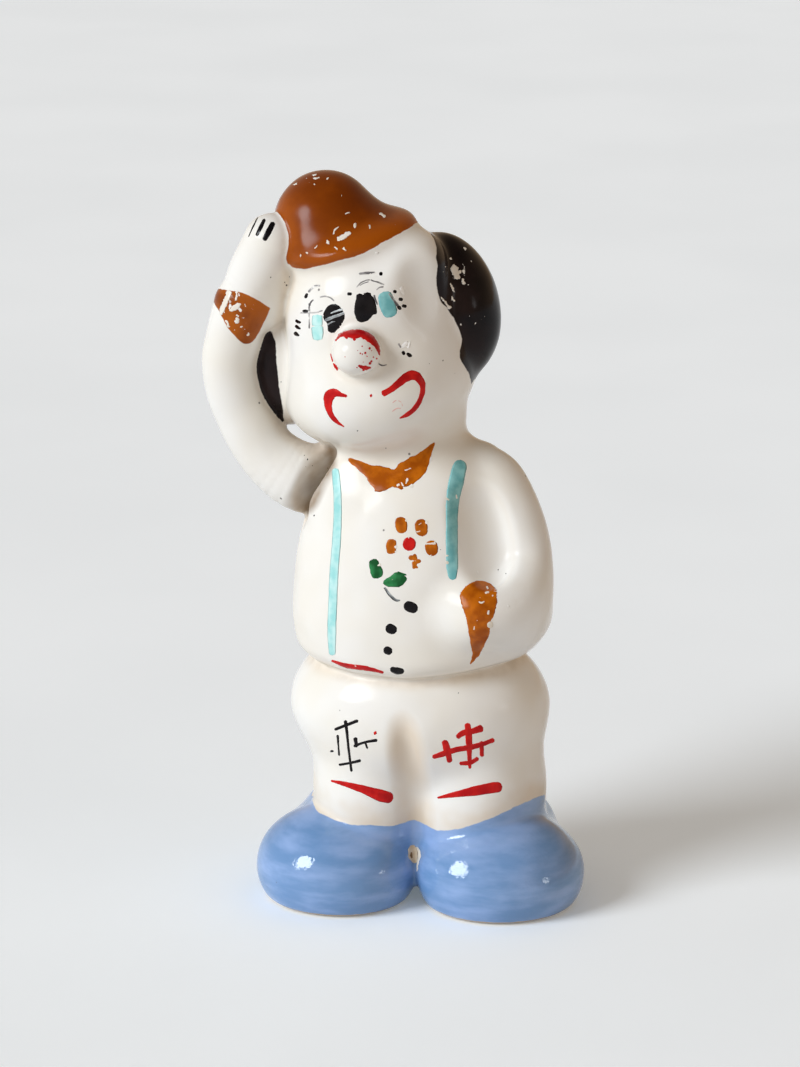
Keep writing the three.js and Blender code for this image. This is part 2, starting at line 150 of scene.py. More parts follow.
def limb(points, knots, steps=5):  # a round rod through x, y, z, radius
    path = smoothPath(knots, steps)
    nearest = np.inf
    for start, end in zip(path, path[1:]):
        along = end[:3] - start[:3]
        away = points - start[:3]
        share = np.clip(away @ along / (along @ along), 0, 1)
        radius = start[3] + share * (end[3] - start[3])
        nearest = np.minimum(nearest, np.linalg.norm(away - share[:, None] * along, axis=1) - radius)
    return nearest


def barrel(points, plan):  # a turned profile of heights and radii, flattened front to back
    path = smoothPath(plan["profile"], plan["steps"])
    local = points - plan["at"]
    outward = np.hypot(local[:, 0], local[:, 1] / plan["flat"])
    return (outward - np.interp(local[:, 2], path[:, 0], path[:, 1])) * plan["flat"] * plan["steep"]


shoes = dict(
    right=dict(side=-1, middle=-8.6, width=18.0),
    left=dict(side=1, middle=9.4, width=18.6),
    turnOut=14, toeAhead=3.9, toeWidest=3.5, toeLength=16.8, toeHeight=13.6,
    heelBehind=4.0, heelWidest=3.2, heelLength=14.0, heelShare=0.8, heelInset=1.3,
    blend=3.0, soleRound=0.8, ventWidth=3.6, ventDepth=2.4, ventRound=0.3,
)


def shoeForm(points, foot):
    s = shoes
    turn = foot["side"] * s["turnOut"]
    heelMiddle = foot["middle"] - foot["side"] * s["heelInset"]
    toe = egg(points, (foot["middle"], -s["toeAhead"], s["toeWidest"]),
              (foot["width"], s["toeLength"], s["toeHeight"]), turn=turn)
    heelSize = (foot["width"] * s["heelShare"], s["heelLength"], 2 * (heelTop - s["heelWidest"]))
    heel = egg(points, (heelMiddle, s["heelBehind"], s["heelWidest"]), heelSize, turn=turn)
    shoe = trim(melt(toe, heel, s["blend"]), -points[:, 2], s["soleRound"])
    ventAway = np.hypot(points[:, 0] - heelMiddle, points[:, 1] - s["heelBehind"])
    vent = np.maximum(ventAway - s["ventWidth"] / 2, points[:, 2] - s["ventDepth"])
    return trim(shoe, -vent, s["ventRound"])


trousers = dict(
    hips=dict(at=(0, 0.4, waist - 5.6), size=(27.6, 20.8, 17.2)),
    rightLeg=dict(at=(-4.9, 0, heelTop + 0.9), size=(13.6, 16.4, 27.0)),
    leftLeg=dict(at=(6.3, 0.3, heelTop + 0.4), size=(15.4, 16.8, 28.0)),
    gusset=dict(at=(0.3, 0.6, heelTop - 2.0), size=(7.0, 11.6, 18.0)),
    valley=dict(at=(0.0, -9.7, heelTop + 4.2), size=(2.9, 3.9, 18.6), lean=-5, nod=20),  # between the legs
    blend=3.0, crease=1.6, valleyRound=1.4,
)


def trouserForm(points):
    hips = egg(points, **trousers["hips"])
    legs = [melt(hips, egg(points, **trousers[leg]), trousers["blend"]) for leg in ("rightLeg", "leftLeg")]
    pair = melt(melt(*legs, trousers["crease"]), egg(points, **trousers["gusset"]), trousers["crease"])
    return trim(pair, -egg(points, **trousers["valley"]), trousers["valleyRound"])


shirt = dict(
    profile=((waist - 3.2, 11.8), (waist - 0.2, 12.6), (waist + 2.8, 13.2), (waist + 6.3, 13.4),
             (collar - 14.7, 12.7), (collar - 9.9, 11.2), (collar - 6.9, 9.7), (collar - 4.4, 7.2),
             (collar - 1.9, 5.0), (collar + 1.6, 4.4)),
    shoulder=dict(at=(-6.2, -2.2, collar - 8.6), size=(9.4, 8.6, 12.0), lean=24), shoulderBlend=1.6,
    at=(-0.2, 0, 0), flat=0.8, steps=8, steep=0.8, hemRound=2.5, collarRound=1.0, ends=0.4,
    hemLift=0.1,  # the hem rises to the left hip
)


def shirtForm(points):
    body = barrel(points, shirt)
    body = melt(body, egg(points, **shirt["shoulder"]), shirt["shoulderBlend"])
    hem = waist - shirt["ends"] + shirt["hemLift"] * np.maximum(points[:, 0], 0)
    body = trim(body, hem - points[:, 2], shirt["hemRound"])
    return trim(body, points[:, 2] - collar + shirt["ends"], shirt["collarRound"])


head = dict(
    lean=-16,
    skull=dict(at=(-4.7, 0, collar + 8.2), size=(19.2, 18.8, 22.4)),
    jaw=dict(at=(-4.3, -0.6, collar + 3.0), size=(20.6, 17.6, 13.2), blend=3.0),
    forehead=dict(at=(-5.0, -0.6, collar + 12.8), size=(17.2, 16.8, 14.8), blend=2.0),
    muzzle=dict(at=(-4.4, -6.3, collar + 3.2), size=(12.4, 8.4, 8.8), blend=3.0),
    hairline=dict(at=(-0.8, -2.6, collar + 16.6), size=(7.2, 9.0, 6.0), blend=2.5),
    temple=dict(at=(2.0, -8.3, collar + 14.9), size=(4.6, 4.6, 7.4), lean=-16),
    templeRound=2.2,  # a shallow dent
)
nose = dict(at=(-5.4, -10.6, collar + 8.7), size=(5.2, 5.4, 4.9))


def headForm(points):
    form = egg(points, **head["skull"], lean=head["lean"])
    for part in ("jaw", "forehead", "muzzle", "hairline"):
        swell = head[part]
        form = melt(form, egg(points, swell["at"], swell["size"], lean=head["lean"]), swell["blend"])
    return trim(form, -egg(points, **head["temple"]), head["templeRound"])


hat = dict(
    crown=dict(at=(-10.1, 0.2, collar + 20.2), size=(11.0, 12.0, 11.0), lean=-13),
    brim=dict(at=(-7.5, -0.5, collar + 18.8), size=(14.2, 15.6, 4.6), lean=-15, nod=4),
    blend=2.6,
)
hair = dict(
    left=dict(at=(2.8, 2.0, collar + 11.1), size=(11.0, 11.2, 16.0), lean=-14),
    right=dict(at=(-14.8, 2.0, collar + 4.6), size=(8.8, 9.6, 14.2), lean=-8),
)
raisedArm = dict(
    sleeve=((-8.2, 0.2, collar - 7.6, 3.9), (-12.0, -0.7, collar - 7.9, 3.7),
            (-16.2, -0.7, collar - 5.3, 3.15), (-19.1, -1.0, collar - 0.5, 2.9),
            (-20.35, -1.5, collar + 4.3, 2.85), (-19.7, -1.9, collar + 8.2, 2.9),
            (-18.7, -2.2, collar + 11.4, 2.95)),
    glove=((-18.4, -2.3, collar + 12.1, 2.7), (-16.9, -2.6, collar + 15.5, 3.1),
           (-15.4, -3.0, collar + 18.6, 3.0)),
    web=dict(at=(-15.3, -1.6, collar + 13.0), size=(4.6, 4.6, 9.0), lean=20), webBlend=1.6,
    armpit=dict(at=(-10.5, -2.8, collar - 7.2), size=(1.8, 6.4, 9.6), lean=25, turn=-36),  # root crease
    armpitRound=1.1,
)
pocketArm = dict(
    sleeve=((6.4, -0.4, collar - 6.5, 3.3), (8.4, -1.4, collar - 8.0, 3.5), (10.5, -2.6, collar - 11.6, 3.3),
            (11.6, -3.8, collar - 15.2, 3.2), (11.0, -6.0, collar - 18.0, 3.4),
            (9.2, -8.3, collar - 19.2, 3.1), (7.8, -9.5, collar - 19.6, 2.7)),
    elbow=dict(at=(9.6, -2.8, collar - 20.8), size=(10.4, 13.0, 11.0)), blend=2.6, steps=12,
    hollow=dict(at=(7.5, -8.1, collar - 11.0), size=(4.0, 7.0, 12.0), lean=-20, turn=-38),  # inner bend
    palm=dict(at=(5.4, -8.2, collar - 19.8), size=(8.0, 6.0, 9.6)), palmBlend=2.2, hollowRound=1.2,
)


def formDistances(points):
    glove = melt(limb(points, raisedArm["glove"]), egg(points, **raisedArm["web"]), raisedArm["webBlend"])
    bent = limb(points, pocketArm["sleeve"], pocketArm["steps"])
    bent = melt(bent, egg(points, **pocketArm["palm"]), pocketArm["palmBlend"])
    return dict(
        shoe_right=shoeForm(points, shoes["right"]),
        shoe_left=shoeForm(points, shoes["left"]),
        trousers=trouserForm(points),
        shirt=shirtForm(points),
        head=headForm(points),
        nose=egg(points, **nose),
        hat=melt(egg(points, **hat["crown"]), egg(points, **hat["brim"]), hat["blend"]),
        hair_left=egg(points, **hair["left"]),
        hair_right=egg(points, **hair["right"]),
        raised_sleeve=limb(points, raisedArm["sleeve"]),
        raised_glove=glove,
        pocket_arm=melt(bent, egg(points, **pocketArm["elbow"]), pocketArm["blend"]),
    )


fillets = dict(shoes=1.0, ankle=0.8, waist=0.7, neck=3.0, pocket_arm=1.0, raised_sleeve=1.2, nose=1.0,
               hair_left=1.0, hair_right=0.8, hat=1.8, wrist=0.8, glove=0.6, body=0.6)
unevenness = dict(height=0.05, pitch=7.5, sway=1.3, shift=0.7, tall=0.8)  # lumps of a hand-finished casting


def figureDistance(points):
    d = formDistances(points)
    low = melt(d["trousers"], melt(d["shoe_right"], d["shoe_left"], fillets["shoes"]), fillets["ankle"])
    low = melt(d["shirt"], low, fillets["waist"])
    high = melt(d["shirt"], d["head"], fillets["neck"])
    for node in ("pocket_arm", "raised_sleeve", "nose", "hair_left", "hair_right", "hat"):
        high = melt(high, d[node], fillets[node])
    arm = melt(d["raised_sleeve"], d["raised_glove"], fillets["wrist"])
    whole = melt(melt(high, arm, fillets["glove"]), low, fillets["body"])
    whole = trim(whole, -egg(points, **raisedArm["armpit"]), raisedArm["armpitRound"])
    whole = trim(whole, -egg(points, **pocketArm["hollow"]), pocketArm["hollowRound"])
    u = unevenness
    x, y, z = (points * 2 * np.pi / u["pitch"]).T
    lumps = np.sin(x + u["sway"] * np.sin(z / 2)) * np.sin(y + u["shift"]) * np.sin(z * u["tall"])
    return np.maximum(whole + u["height"] * lumps, -points[:, 2])  # flat on the floor


def slopeOf(field, points, step=0.02):
    rises = [field(points + side) - field(points - side) for side in np.eye(3) * step]
    return np.stack(rises, 1) / (2 * step)


# the skin of the whole figure, as quads

casting = dict(step=0.28, block=6, batch=2000, margin=1.5, reach=2.4, band=3,
               passes=2, leastSlope=0.05, wall=0.9)


def gridOf(counts):
    return np.stack(np.meshgrid(*map(np.arange, counts), indexing="ij"), -1).reshape(-1, 3)


def castSkin():
    step, block = casting["step"], casting["block"]
    low = np.array(cadBox[0]) / mm - bodyAxis - casting["margin"]
    high = np.array(cadBox[1]) / mm - bodyAxis + casting["margin"]
    blocks = np.ceil((high - low) / (step * block)).astype(int)
    corners = gridOf(blocks) * block
    coarse = figureDistance(low + (corners + block / 2) * step)
    field = coarse.reshape(blocks)
    for axis in range(3):
        field = np.repeat(field, block, axis)
    inBlock = gridOf([block] * 3)
    near = corners[np.abs(coarse) < casting["reach"] + step * block / 2]
    for batch in np.array_split(near, max(1, len(near) // casting["batch"])):  # fine only round the surface
        places = (batch[:, None] + inBlock).reshape(-1, 3)
        field[tuple(places.T)] = figureDistance(low + places * step)
    band = casting["band"] * step
    grid = openvdb.FloatGrid(band)
    grid.copyFromArray(np.clip(field, -band, band).astype(np.float32))
    points, quads = grid.convertToQuads()
    points = low + points.astype(float) * step
    for _ in range(casting["passes"]):  # on to the exact surface
        slope = slopeOf(figureDistance, points)
        steepness = np.maximum((slope ** 2).sum(1), casting["leastSlope"])
        points -= np.clip((figureDistance(points) / steepness)[:, None] * slope, -step, step)
    normals = slopeOf(figureDistance, points)
    normals /= np.linalg.norm(normals, axis=1)[:, None]
    return points, quads.astype(int), normals


skinPoints, skinQuads, skinNormals = castSkin()
skinForms = formDistances(skinPoints)
formNames = list(skinForms)
print(f"skin: {len(skinPoints)} points, {len(skinQuads)} quads")


# fields that the glazes read: distances in millimetres to each painted edge, and how sheltered a spot is

def lead(names, rivals=formNames):  # how much nearer these forms are than their rivals
    own = np.minimum.reduce([skinForms[name] for name in names])
    return np.minimum.reduce([skinForms[name] for name in rivals if name not in names]) - own


def photoPlace(points):
    offset = points - eye
    scale = shot["distance"] / (offset @ -towardsEye) / pixel
    return np.stack([shot["photoWidth"] / 2 + offset @ canvasRight * scale,
                     shot["photoHeight"] / 2 - offset @ canvasUp * scale], 1)


skinPlaces = photoPlace(skinPoints)


def besideLine(knots, steps=4):  # how far a spot lies to the right of a line drawn on the photo, in mm
    path = smoothPath(knots, steps)
    nearest, side = np.full(len(skinPlaces), np.inf), np.zeros(len(skinPlaces))
    for start, end in zip(path, path[1:]):
        along, away = end - start, skinPlaces - start
        share = np.clip(away @ along / (along @ along), 0, 1)
        gap = np.linalg.norm(away - share[:, None] * along, axis=1)
        closer = gap < nearest
        nearest[closer] = gap[closer]
        side[closer] = np.sign(along[0] * away[closer, 1] - along[1] * away[closer, 0])
    return nearest * side * pixel


paintLines = dict(
    hat=((270, 262), (288, 264), (292, 267.5), (302, 269), (311, 268), (343.6, 259.5), (361.8, 254),
         (381.8, 243), (405.4, 230.4), (416, 223)),
    leftHair=((414, 222), (425.4, 241.3), (434.5, 255.9), (437.2, 266.8), (436.3, 285), (440, 299.5),
              (449, 310.4), (457.2, 324.9), (461.8, 339.5), (460, 357.7), (468.1, 372.2), (472, 386)),
    rightHair=((264, 310), (268.4, 322), (276, 343.8), (276.8, 366.3), (281.7, 401.4), (284, 424)),
    shoes=((306, 790), (313, 802), (319.7, 813), (346.9, 823.5), (371.8, 825.5), (394.4, 825.5),
           (415.5, 820), (437.4, 830.4), (462.3, 827.7), (489.5, 818.7), (516.7, 806.2), (545, 794)),
    cuffTop=((208, 286), (220.5, 289), (238.9, 292), (252.1, 297.1), (274, 310)),
    cuffBottom=((208, 292), (214, 302.5), (228.7, 328.8), (240, 341.5), (248, 343.8), (256, 337), (265, 320),
                (271.5, 306), (274, 298)),
    armpit=((332, 450), (332, 462), (329, 470), (321, 487), (314, 502), (309, 508)),
)
spills = dict(hat=1.6, leftHair=3.0, rightHair=3.0, shoes=2.6)  # how far paint may run past a crease
drawnFacing = dict(least=0.3, rise=3)  # how soon a drawn line gives way as the skin turns off
armpitGrimeAndShade = dict(reach=3.2, steeper=4, headGap=2.0, facing=3)  # painted shade and grime beside the raised arm's root
partingReach = 1.2
shelterReaches = (0.8, 1.6, 3.2)


# the drawn line where it faces the camera, the crease elsewhere
def paintedTo(line, side, names, host="head"):
    own = lead(names)
    front = np.minimum(side * besideLine(paintLines[line]), lead(names, [host]) + spills[line])
    front = np.minimum(front, lead(names, [name for name in formNames if name != host]))
    facing = np.clip(drawnFacing["least"] + drawnFacing["rise"] * skinNormals @ towardsEye, 0, 1)
    return own + (front - own) * facing


def cuffField():
    edge = np.minimum(besideLine(paintLines["cuffTop"]), -besideLine(paintLines["cuffBottom"]))
    return np.minimum(edge, lead(["raised_sleeve", "raised_glove"]))


# painted shade along the crease at the raised arm's root, with some grime: strongest at the crease, fading
# away from it and where the skin turns from the camera
def smudgeAndShadeField():
    grimeAndShade = armpitGrimeAndShade
    beside = besideLine(paintLines["armpit"])  # mostly on the sleeve's side of the crease
    smudgeAndShade = np.clip(1 - np.maximum(beside, -grimeAndShade["steeper"] * beside) / grimeAndShade["reach"], 0, 1)
    smudgeAndShade *= np.clip(1 - (skinForms["raised_sleeve"] - skinForms["head"]) / grimeAndShade["headGap"], 0, 1)
    return smudgeAndShade * np.clip(grimeAndShade["facing"] * skinNormals @ towardsEye, 0, 1)


def shelterField():
    clear = [figureDistance(skinPoints + skinNormals * reach) / reach for reach in shelterReaches]
    return 1 - np.mean(clear, axis=0)


skinFields = dict(
    hatEdge=paintedTo("hat", -1, ["hat"]),
    hairEdge=np.maximum(paintedTo("leftHair", -1, ["hair_left"]), paintedTo("rightHair", 1, ["hair_right"])),
    shoeEdge=paintedTo("shoes", 1, ["shoe_left", "shoe_right"], "trousers"),
    cuffEdge=cuffField(),
    shelter=shelterField(),
    smudgeAndShade=smudgeAndShadeField(),
    parting=np.clip(partingReach - egg(skinPoints, **trousers["valley"]), 0, 1),  # between the legs
)


# node helpers for both kinds of tree

def addNode(tree, kind, inputs=None, **settings):
    made = tree.nodes.new(kind)
    for name, value in settings.items():
        setattr(made, name, value)
    for key, value in (inputs or {}).items():
        if isinstance(value, bpy.types.NodeSocket):
            tree.links.new(value, made.inputs[key])
        else:
            made.inputs[key].default_value = value
    return made


def calc(tree, operation, one, other=0.0, clamp=False):
    made = addNode(tree, "ShaderNodeMath", {0: one, 1: other}, operation=operation, use_clamp=clamp)
    return made.outputs[0]


def times(tree, one, other):
    return calc(tree, "MULTIPLY", one, other)


def plus(tree, one, other):
    return calc(tree, "ADD", one, other)


def vectors(tree, operation, one, other):
    key = "Scale" if operation == "SCALE" else 1
    return addNode(tree, "ShaderNodeVectorMath", {0: one, key: other}, operation=operation).outputs[0]


def ramp(tree, value, low, high, start=0.0, end=1.0):
    inputs = {"Value": value, "From Min": low, "From Max": high, "To Min": start, "To Max": end}
    return addNode(tree, "ShaderNodeMapRange", inputs, interpolation_type="SMOOTHSTEP").outputs[0]


def mixed(tree, share, one, other):
    return addNode(tree, "ShaderNodeMix", {0: share, 6: one, 7: other}, data_type="RGBA").outputs[2]


def field(tree, name):
    return addNode(tree, "ShaderNodeAttribute", attribute_name=name).outputs["Fac"]


noiseDrift = (1, 0.7, 1.3)  # way that an offset moves the noise


def grain(tree, pitch, detail=2.0, stretch=(1, 1, 1), offset=0.0):  # noise of a pitch in mm
    place = addNode(tree, "ShaderNodeTexCoord").outputs["Object"]
    inputs = {"Vector": place, "Location": tuple(offset * way for way in noiseDrift),
              "Scale": tuple(share / (pitch * mm) for share in stretch)}
    place = addNode(tree, "ShaderNodeMapping", inputs).outputs[0]
    noise = addNode(tree, "ShaderNodeTexNoise", {"Vector": place, "Scale": 1.0, "Detail": detail})
    return noise.outputs["Fac"]


scuffShare = 0.6  # of the fine grain, against the broad patches that it gathers in


def scuffs(tree, fine, broad, detail, offset):
    near = times(tree, grain(tree, fine, 4, offset=offset), scuffShare)
    return plus(tree, near, times(tree, grain(tree, broad, detail, offset=offset + 2), 1 - scuffShare))


def startMaterial(name):
    material = bpy.data.materials.new(name)
    material.use_nodes = True
    tree = material.node_tree
    tree.nodes.clear()
    shader = addNode(tree, "ShaderNodeBsdfPrincipled")
    addNode(tree, "ShaderNodeOutputMaterial", {"Surface": shader.outputs[0]})
    return material, tree, shader


# glazes

# the grime colour darkens both real grime and painted shade in the creases
cream = dict(light=(0.825, 0.81, 0.775, 1), warm=(0.805, 0.77, 0.70, 1), tan=(0.66, 0.50, 0.32, 1),
             grimeAndShade=(0.25, 0.16, 0.085, 1), speck=(0.06, 0.05, 0.05, 1), bare=(0.50, 0.37, 0.23, 1),
             rough=0.14, shine=0.16, grit=0.16, pooledGlazeAndShade=0.3, poolAndShadeEdges=(0.15, 0.8), parted=0.55,
             dirtAndShade=0.15, dirtAndShadeEdges=(0.3, 0.8), thin=0.5)
patches = dict(  # the noise of each blemish and of the painted crease shade, by pitch in mm, and the ramp that it goes through
    mottle=dict(pitch=9.0, detail=2, offset=0, edges=(0.35, 0.7)),
    dirtAndShade=dict(pitch=1.6, detail=4, offset=2, edges=(0.4, 0.75)),
    smudgeAndShade=dict(pitch=2.2, detail=2, offset=13, edges=(0.2, 0.8, 0.6, 1.0)),
    rough=dict(pitch=2.4, detail=3, offset=11, edges=(0.3, 0.7, 0.10, 0.20)),
    floor=dict(pitch=60.0, detail=3, offset=0, edges=(0.3, 0.7)),
)
ankleGlaze = dict(pitch=4.0, wander=5.0, edges=(0.0, 3.2))  # thin above the shoes
ironSpecks = dict(perMm=0.42, odds=0.86, edges=(0.075, 0.045), share=0.8, pit=-0.6)
footRim = dict(pitch=2.0, wander=0.5, edges=(0.75, 0.55), rough=0.6)  # unglazed, in mm above the floor
relief = dict(wave=1.9, grit=0.5, strength=0.35, height=0.05)
coat = dict(wander=1.1, soft=0.05, fine=0.7, broad=5.0, chipEdge=0.015, rim=2.5, rimShare=0.08,
            depths=(0.42, 0.86), noiseStart=17.0, noiseApart=9)
paints = dict(
    hat=dict(edge="hatEdge", thin=(0.34, 0.072, 0.002, 1), thick=(0.18, 0.033, 0.001, 1), pitch=7.0,
             stretch=(0.9, 0.9, 1.1), ragged=0.25, chips=0.70, rough=0.18, shine=0.16, grit=0.2),
    cuff=dict(edge="cuffEdge", thin=(0.40, 0.095, 0.003, 1), thick=(0.15, 0.026, 0.001, 1), pitch=4.0,
              stretch=(1, 1, 1), ragged=0.25, chips=0.66, rough=0.16, shine=0.2, grit=0.2),
    hair=dict(edge="hairEdge", thin=(0.016, 0.009, 0.009, 1), thick=(0.004, 0.003, 0.004, 1), pitch=3.2,
              stretch=(1, 1, 1), ragged=0.35, chips=0.69, rough=0.15, shine=0.12, grit=0.2),
    shoe=dict(edge="shoeEdge", thin=(0.27, 0.405, 0.69, 1), thick=(0.14, 0.275, 0.515, 1), pitch=2.4,
              stretch=(0.4, 0.4, 1.5), ragged=0.3, chips=0.80, rough=0.04, shine=0.6, grit=1.5),
)


def patchy(tree, blemish):
    p = patches[blemish]
    return ramp(tree, grain(tree, p["pitch"], p["detail"], offset=p["offset"]), *p["edges"])


def layPaint(tree, look, paint, offset):
    fromEdge = field(tree, paint["edge"])
    wander = calc(tree, "SUBTRACT", grain(tree, coat["wander"], 3, offset=offset), 0.5)
    edge = plus(tree, fromEdge, times(tree, wander, paint["ragged"]))
    cover = ramp(tree, edge, -coat["soft"], coat["soft"])
    chipped = scuffs(tree, coat["fine"], coat["broad"], 1, offset + 3)
    cover = times(tree, cover, ramp(tree, chipped, paint["chips"], paint["chips"] - coat["chipEdge"]))
    inside = times(tree, calc(tree, "MINIMUM", fromEdge, coat["rim"]), coat["rimShare"])
    brushed = grain(tree, paint["pitch"], 4, stretch=paint["stretch"], offset=offset + 7)
    depth = ramp(tree, plus(tree, inside, brushed), *coat["depths"])
    look["colour"] = mixed(tree, cover, look["colour"], mixed(tree, depth, paint["thin"], paint["thick"]))
    for part in ("rough", "shine", "grit"):
        look[part] = plus(tree, times(tree, cover, paint[part] - cream[part]), look[part])


def creamColour(tree):
    colour = mixed(tree, patchy(tree, "mottle"), cream["light"], cream["warm"])
    shelter = field(tree, "shelter")
    # tan in sheltered creases and between the legs: partly pooled glaze, partly painted warm shade
    pooledGlazeAndShade = calc(tree, "MAXIMUM", times(tree, ramp(tree, shelter, *cream["poolAndShadeEdges"]), cream["pooledGlazeAndShade"]),
                  times(tree, field(tree, "parting"), cream["parted"]))
    colour = mixed(tree, pooledGlazeAndShade, colour, cream["tan"])  # glaze runs thick and yellow into the creases, and the tan there is also painted warm shade
    # darker speckled colour where the skin is sheltered: partly grime, partly painted shade in the creases
    dirtAndShade = times(tree, ramp(tree, shelter, *cream["dirtAndShadeEdges"]), patchy(tree, "dirtAndShade"))
    colour = mixed(tree, times(tree, dirtAndShade, cream["dirtAndShade"]), colour, cream["grimeAndShade"])
    # painted shade and grime at the raised arm's root
    colour = mixed(tree, times(tree, field(tree, "smudgeAndShade"), patchy(tree, "smudgeAndShade")), colour, cream["grimeAndShade"])
    wander = times(tree, grain(tree, ankleGlaze["pitch"], 2, offset=8), ankleGlaze["wander"])
    thin = ramp(tree, plus(tree, field(tree, "shoeEdge"), wander), *ankleGlaze["edges"])
    return mixed(tree, times(tree, thin, cream["thin"]), colour, cream["tan"])


def glazeMaterial(name, *coats):
    material, tree, shader = startMaterial(name)
    look = dict(colour=creamColour(tree), rough=patchy(tree, "rough"),
                shine=cream["shine"], grit=cream["grit"])
    for number, paint in enumerate(coats):
        layPaint(tree, look, paints[paint], coat["noiseStart"] + coat["noiseApart"] * number)
    place = addNode(tree, "ShaderNodeTexCoord").outputs["Object"]
    specks = addNode(tree, "ShaderNodeTexVoronoi", {"Vector": place, "Scale": ironSpecks["perMm"] / mm})
    chance = addNode(tree, "ShaderNodeSeparateColor", {0: specks.outputs["Color"]}).outputs[0]
    dots = times(tree, ramp(tree, specks.outputs["Distance"], *ironSpecks["edges"]),
                 calc(tree, "GREATER_THAN", chance, ironSpecks["odds"]))
    colour = mixed(tree, times(tree, dots, ironSpecks["share"]), look["colour"], cream["speck"])
    height = addNode(tree, "ShaderNodeSeparateXYZ", {0: place}).outputs[2]
    wander = times(tree, grain(tree, footRim["pitch"], 3, offset=4), footRim["wander"] * mm)
    foot = plus(tree, height, wander)
    unglazed = ramp(tree, foot, *(edge * mm for edge in footRim["edges"]))
    colour = mixed(tree, unglazed, colour, cream["bare"])
    roughness = plus(tree, look["rough"], times(tree, unglazed, footRim["rough"]))
    bumps = plus(tree, grain(tree, relief["wave"], offset=6), times(tree, dots, ironSpecks["pit"]))
    bumps = plus(tree, bumps, times(tree, grain(tree, relief["grit"], offset=9), look["grit"]))
    inputs = {"Strength": relief["strength"], "Distance": relief["height"] * mm, "Height": bumps}
    tree.links.new(colour, shader.inputs["Base Color"])
    tree.links.new(roughness, shader.inputs["Roughness"])
    tree.links.new(addNode(tree, "ShaderNodeBump", inputs).outputs[0], shader.inputs["Normal"])
    if coats:
        tree.links.new(look["shine"], shader.inputs["Specular IOR Level"])
    else:
        shader.inputs["Specular IOR Level"].default_value = look["shine"]
    return material


creamGlaze = glazeMaterial("creamGlaze")
faceGlaze = glazeMaterial("faceGlaze", "hair", "hat")
shoeGlaze = glazeMaterial("shoeGlaze", "shoe")
cuffGlaze = glazeMaterial("cuffGlaze", "cuff", "hat", "hair")
print("glazes: made")


# the castings: each takes its share of the skin, with a wall behind it

castings = dict(
    shoe_right=dict(glaze=shoeGlaze, slot="blue_glaze", replaces=("shoe_right", "ankle_slip_right")),
    shoe_left=dict(glaze=shoeGlaze, slot="blue_glaze", replaces=("shoe_left", "ankle_slip_left")),
    trousers=dict(glaze=shoeGlaze, slot="cream_glaze", replaces=("trousers", "waist_slip")),
    shirt=dict(glaze=creamGlaze, slot="cream_glaze", replaces=("shirt", "shoulder_slip", "pocket_arm_slip")),
    head=dict(glaze=faceGlaze, slot="cream_glaze",
              replaces=("head", "neck_slip", "hair_slip_right", "hair_slip_left")),
    nose=dict(glaze=creamGlaze, slot="cream_glaze", replaces=("nose", "nose_slip")),
    hat=dict(glaze=faceGlaze, slot="brown_enamel", replaces=("hat", "hat_slip")),
    hair_left=dict(glaze=faceGlaze, slot="black_enamel", replaces=("hair_left",)),
    hair_right=dict(glaze=faceGlaze, slot="black_enamel", replaces=("hair_right",)),
    raised_sleeve=dict(glaze=cuffGlaze, slot="cream_glaze", replaces=("raised_sleeve", "wrist_slip")),
    raised_glove=dict(glaze=cuffGlaze, slot="cream_glaze", replaces=("raised_glove", "glove_slip")),
    pocket_arm=dict(glaze=creamGlaze, slot="cream_glaze", replaces=("pocket_arm",)),
)


def fromPoints(name, points, faces, normals, fields):
    mesh = bpy.data.meshes.new(name)
    mesh.from_pydata((points + bodyAxis) * mm, [], faces)
    for fieldName, values in fields.items():
        mesh.attributes.new(fieldName, "FLOAT", "POINT").data.foreach_set("value", values.astype(np.float32))
    mesh.shade_smooth()
    mesh.normals_split_custom_set_from_vertices(normals)
    piece = bpy.data.objects.new(name, mesh)
    scene.collection.objects.link(piece)
    return piece


def addCasting(name, plan, quads):
    used, faces = np.unique(quads, return_inverse=True)
    faces = faces.reshape(-1, 4)
    count = len(used)
    edges = np.stack([faces, np.roll(faces, -1, 1)], -1).reshape(-1, 2)
    keys = np.sort(edges, 1) @ np.array([count, 1])
    first, tally = np.unique(keys, return_index=True, return_counts=True)[1:]
    rim = edges[first[tally == 1]]
    rimFaces = np.stack([rim[:, 1], rim[:, 0], rim[:, 0] + count, rim[:, 1] + count], 1)
    outer, normals = skinPoints[used], skinNormals[used]
    points = np.concatenate([outer, outer - normals * casting["wall"]])
    allFaces = np.concatenate([faces, faces[:, ::-1] + count, rimFaces])
    fields = {key: np.tile(values[used], 2) for key, values in skinFields.items()}
    piece = fromPoints(name + "_skin", points, allFaces, np.concatenate([normals, -normals]), fields)
    piece.data.materials.append(plan["glaze"])
    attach(piece, "root")
    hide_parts(*plan["replaces"])


quadForms = np.stack([skinForms[name][skinQuads].mean(1) for name in formNames], 1)
quadOwner = quadForms.argmin(1)
for name, plan in castings.items():
    addCasting(name, plan, skinQuads[quadOwner == formNames.index(name)])
print(f"castings: {len(castings)} pieces")


# enamels for the painted marks

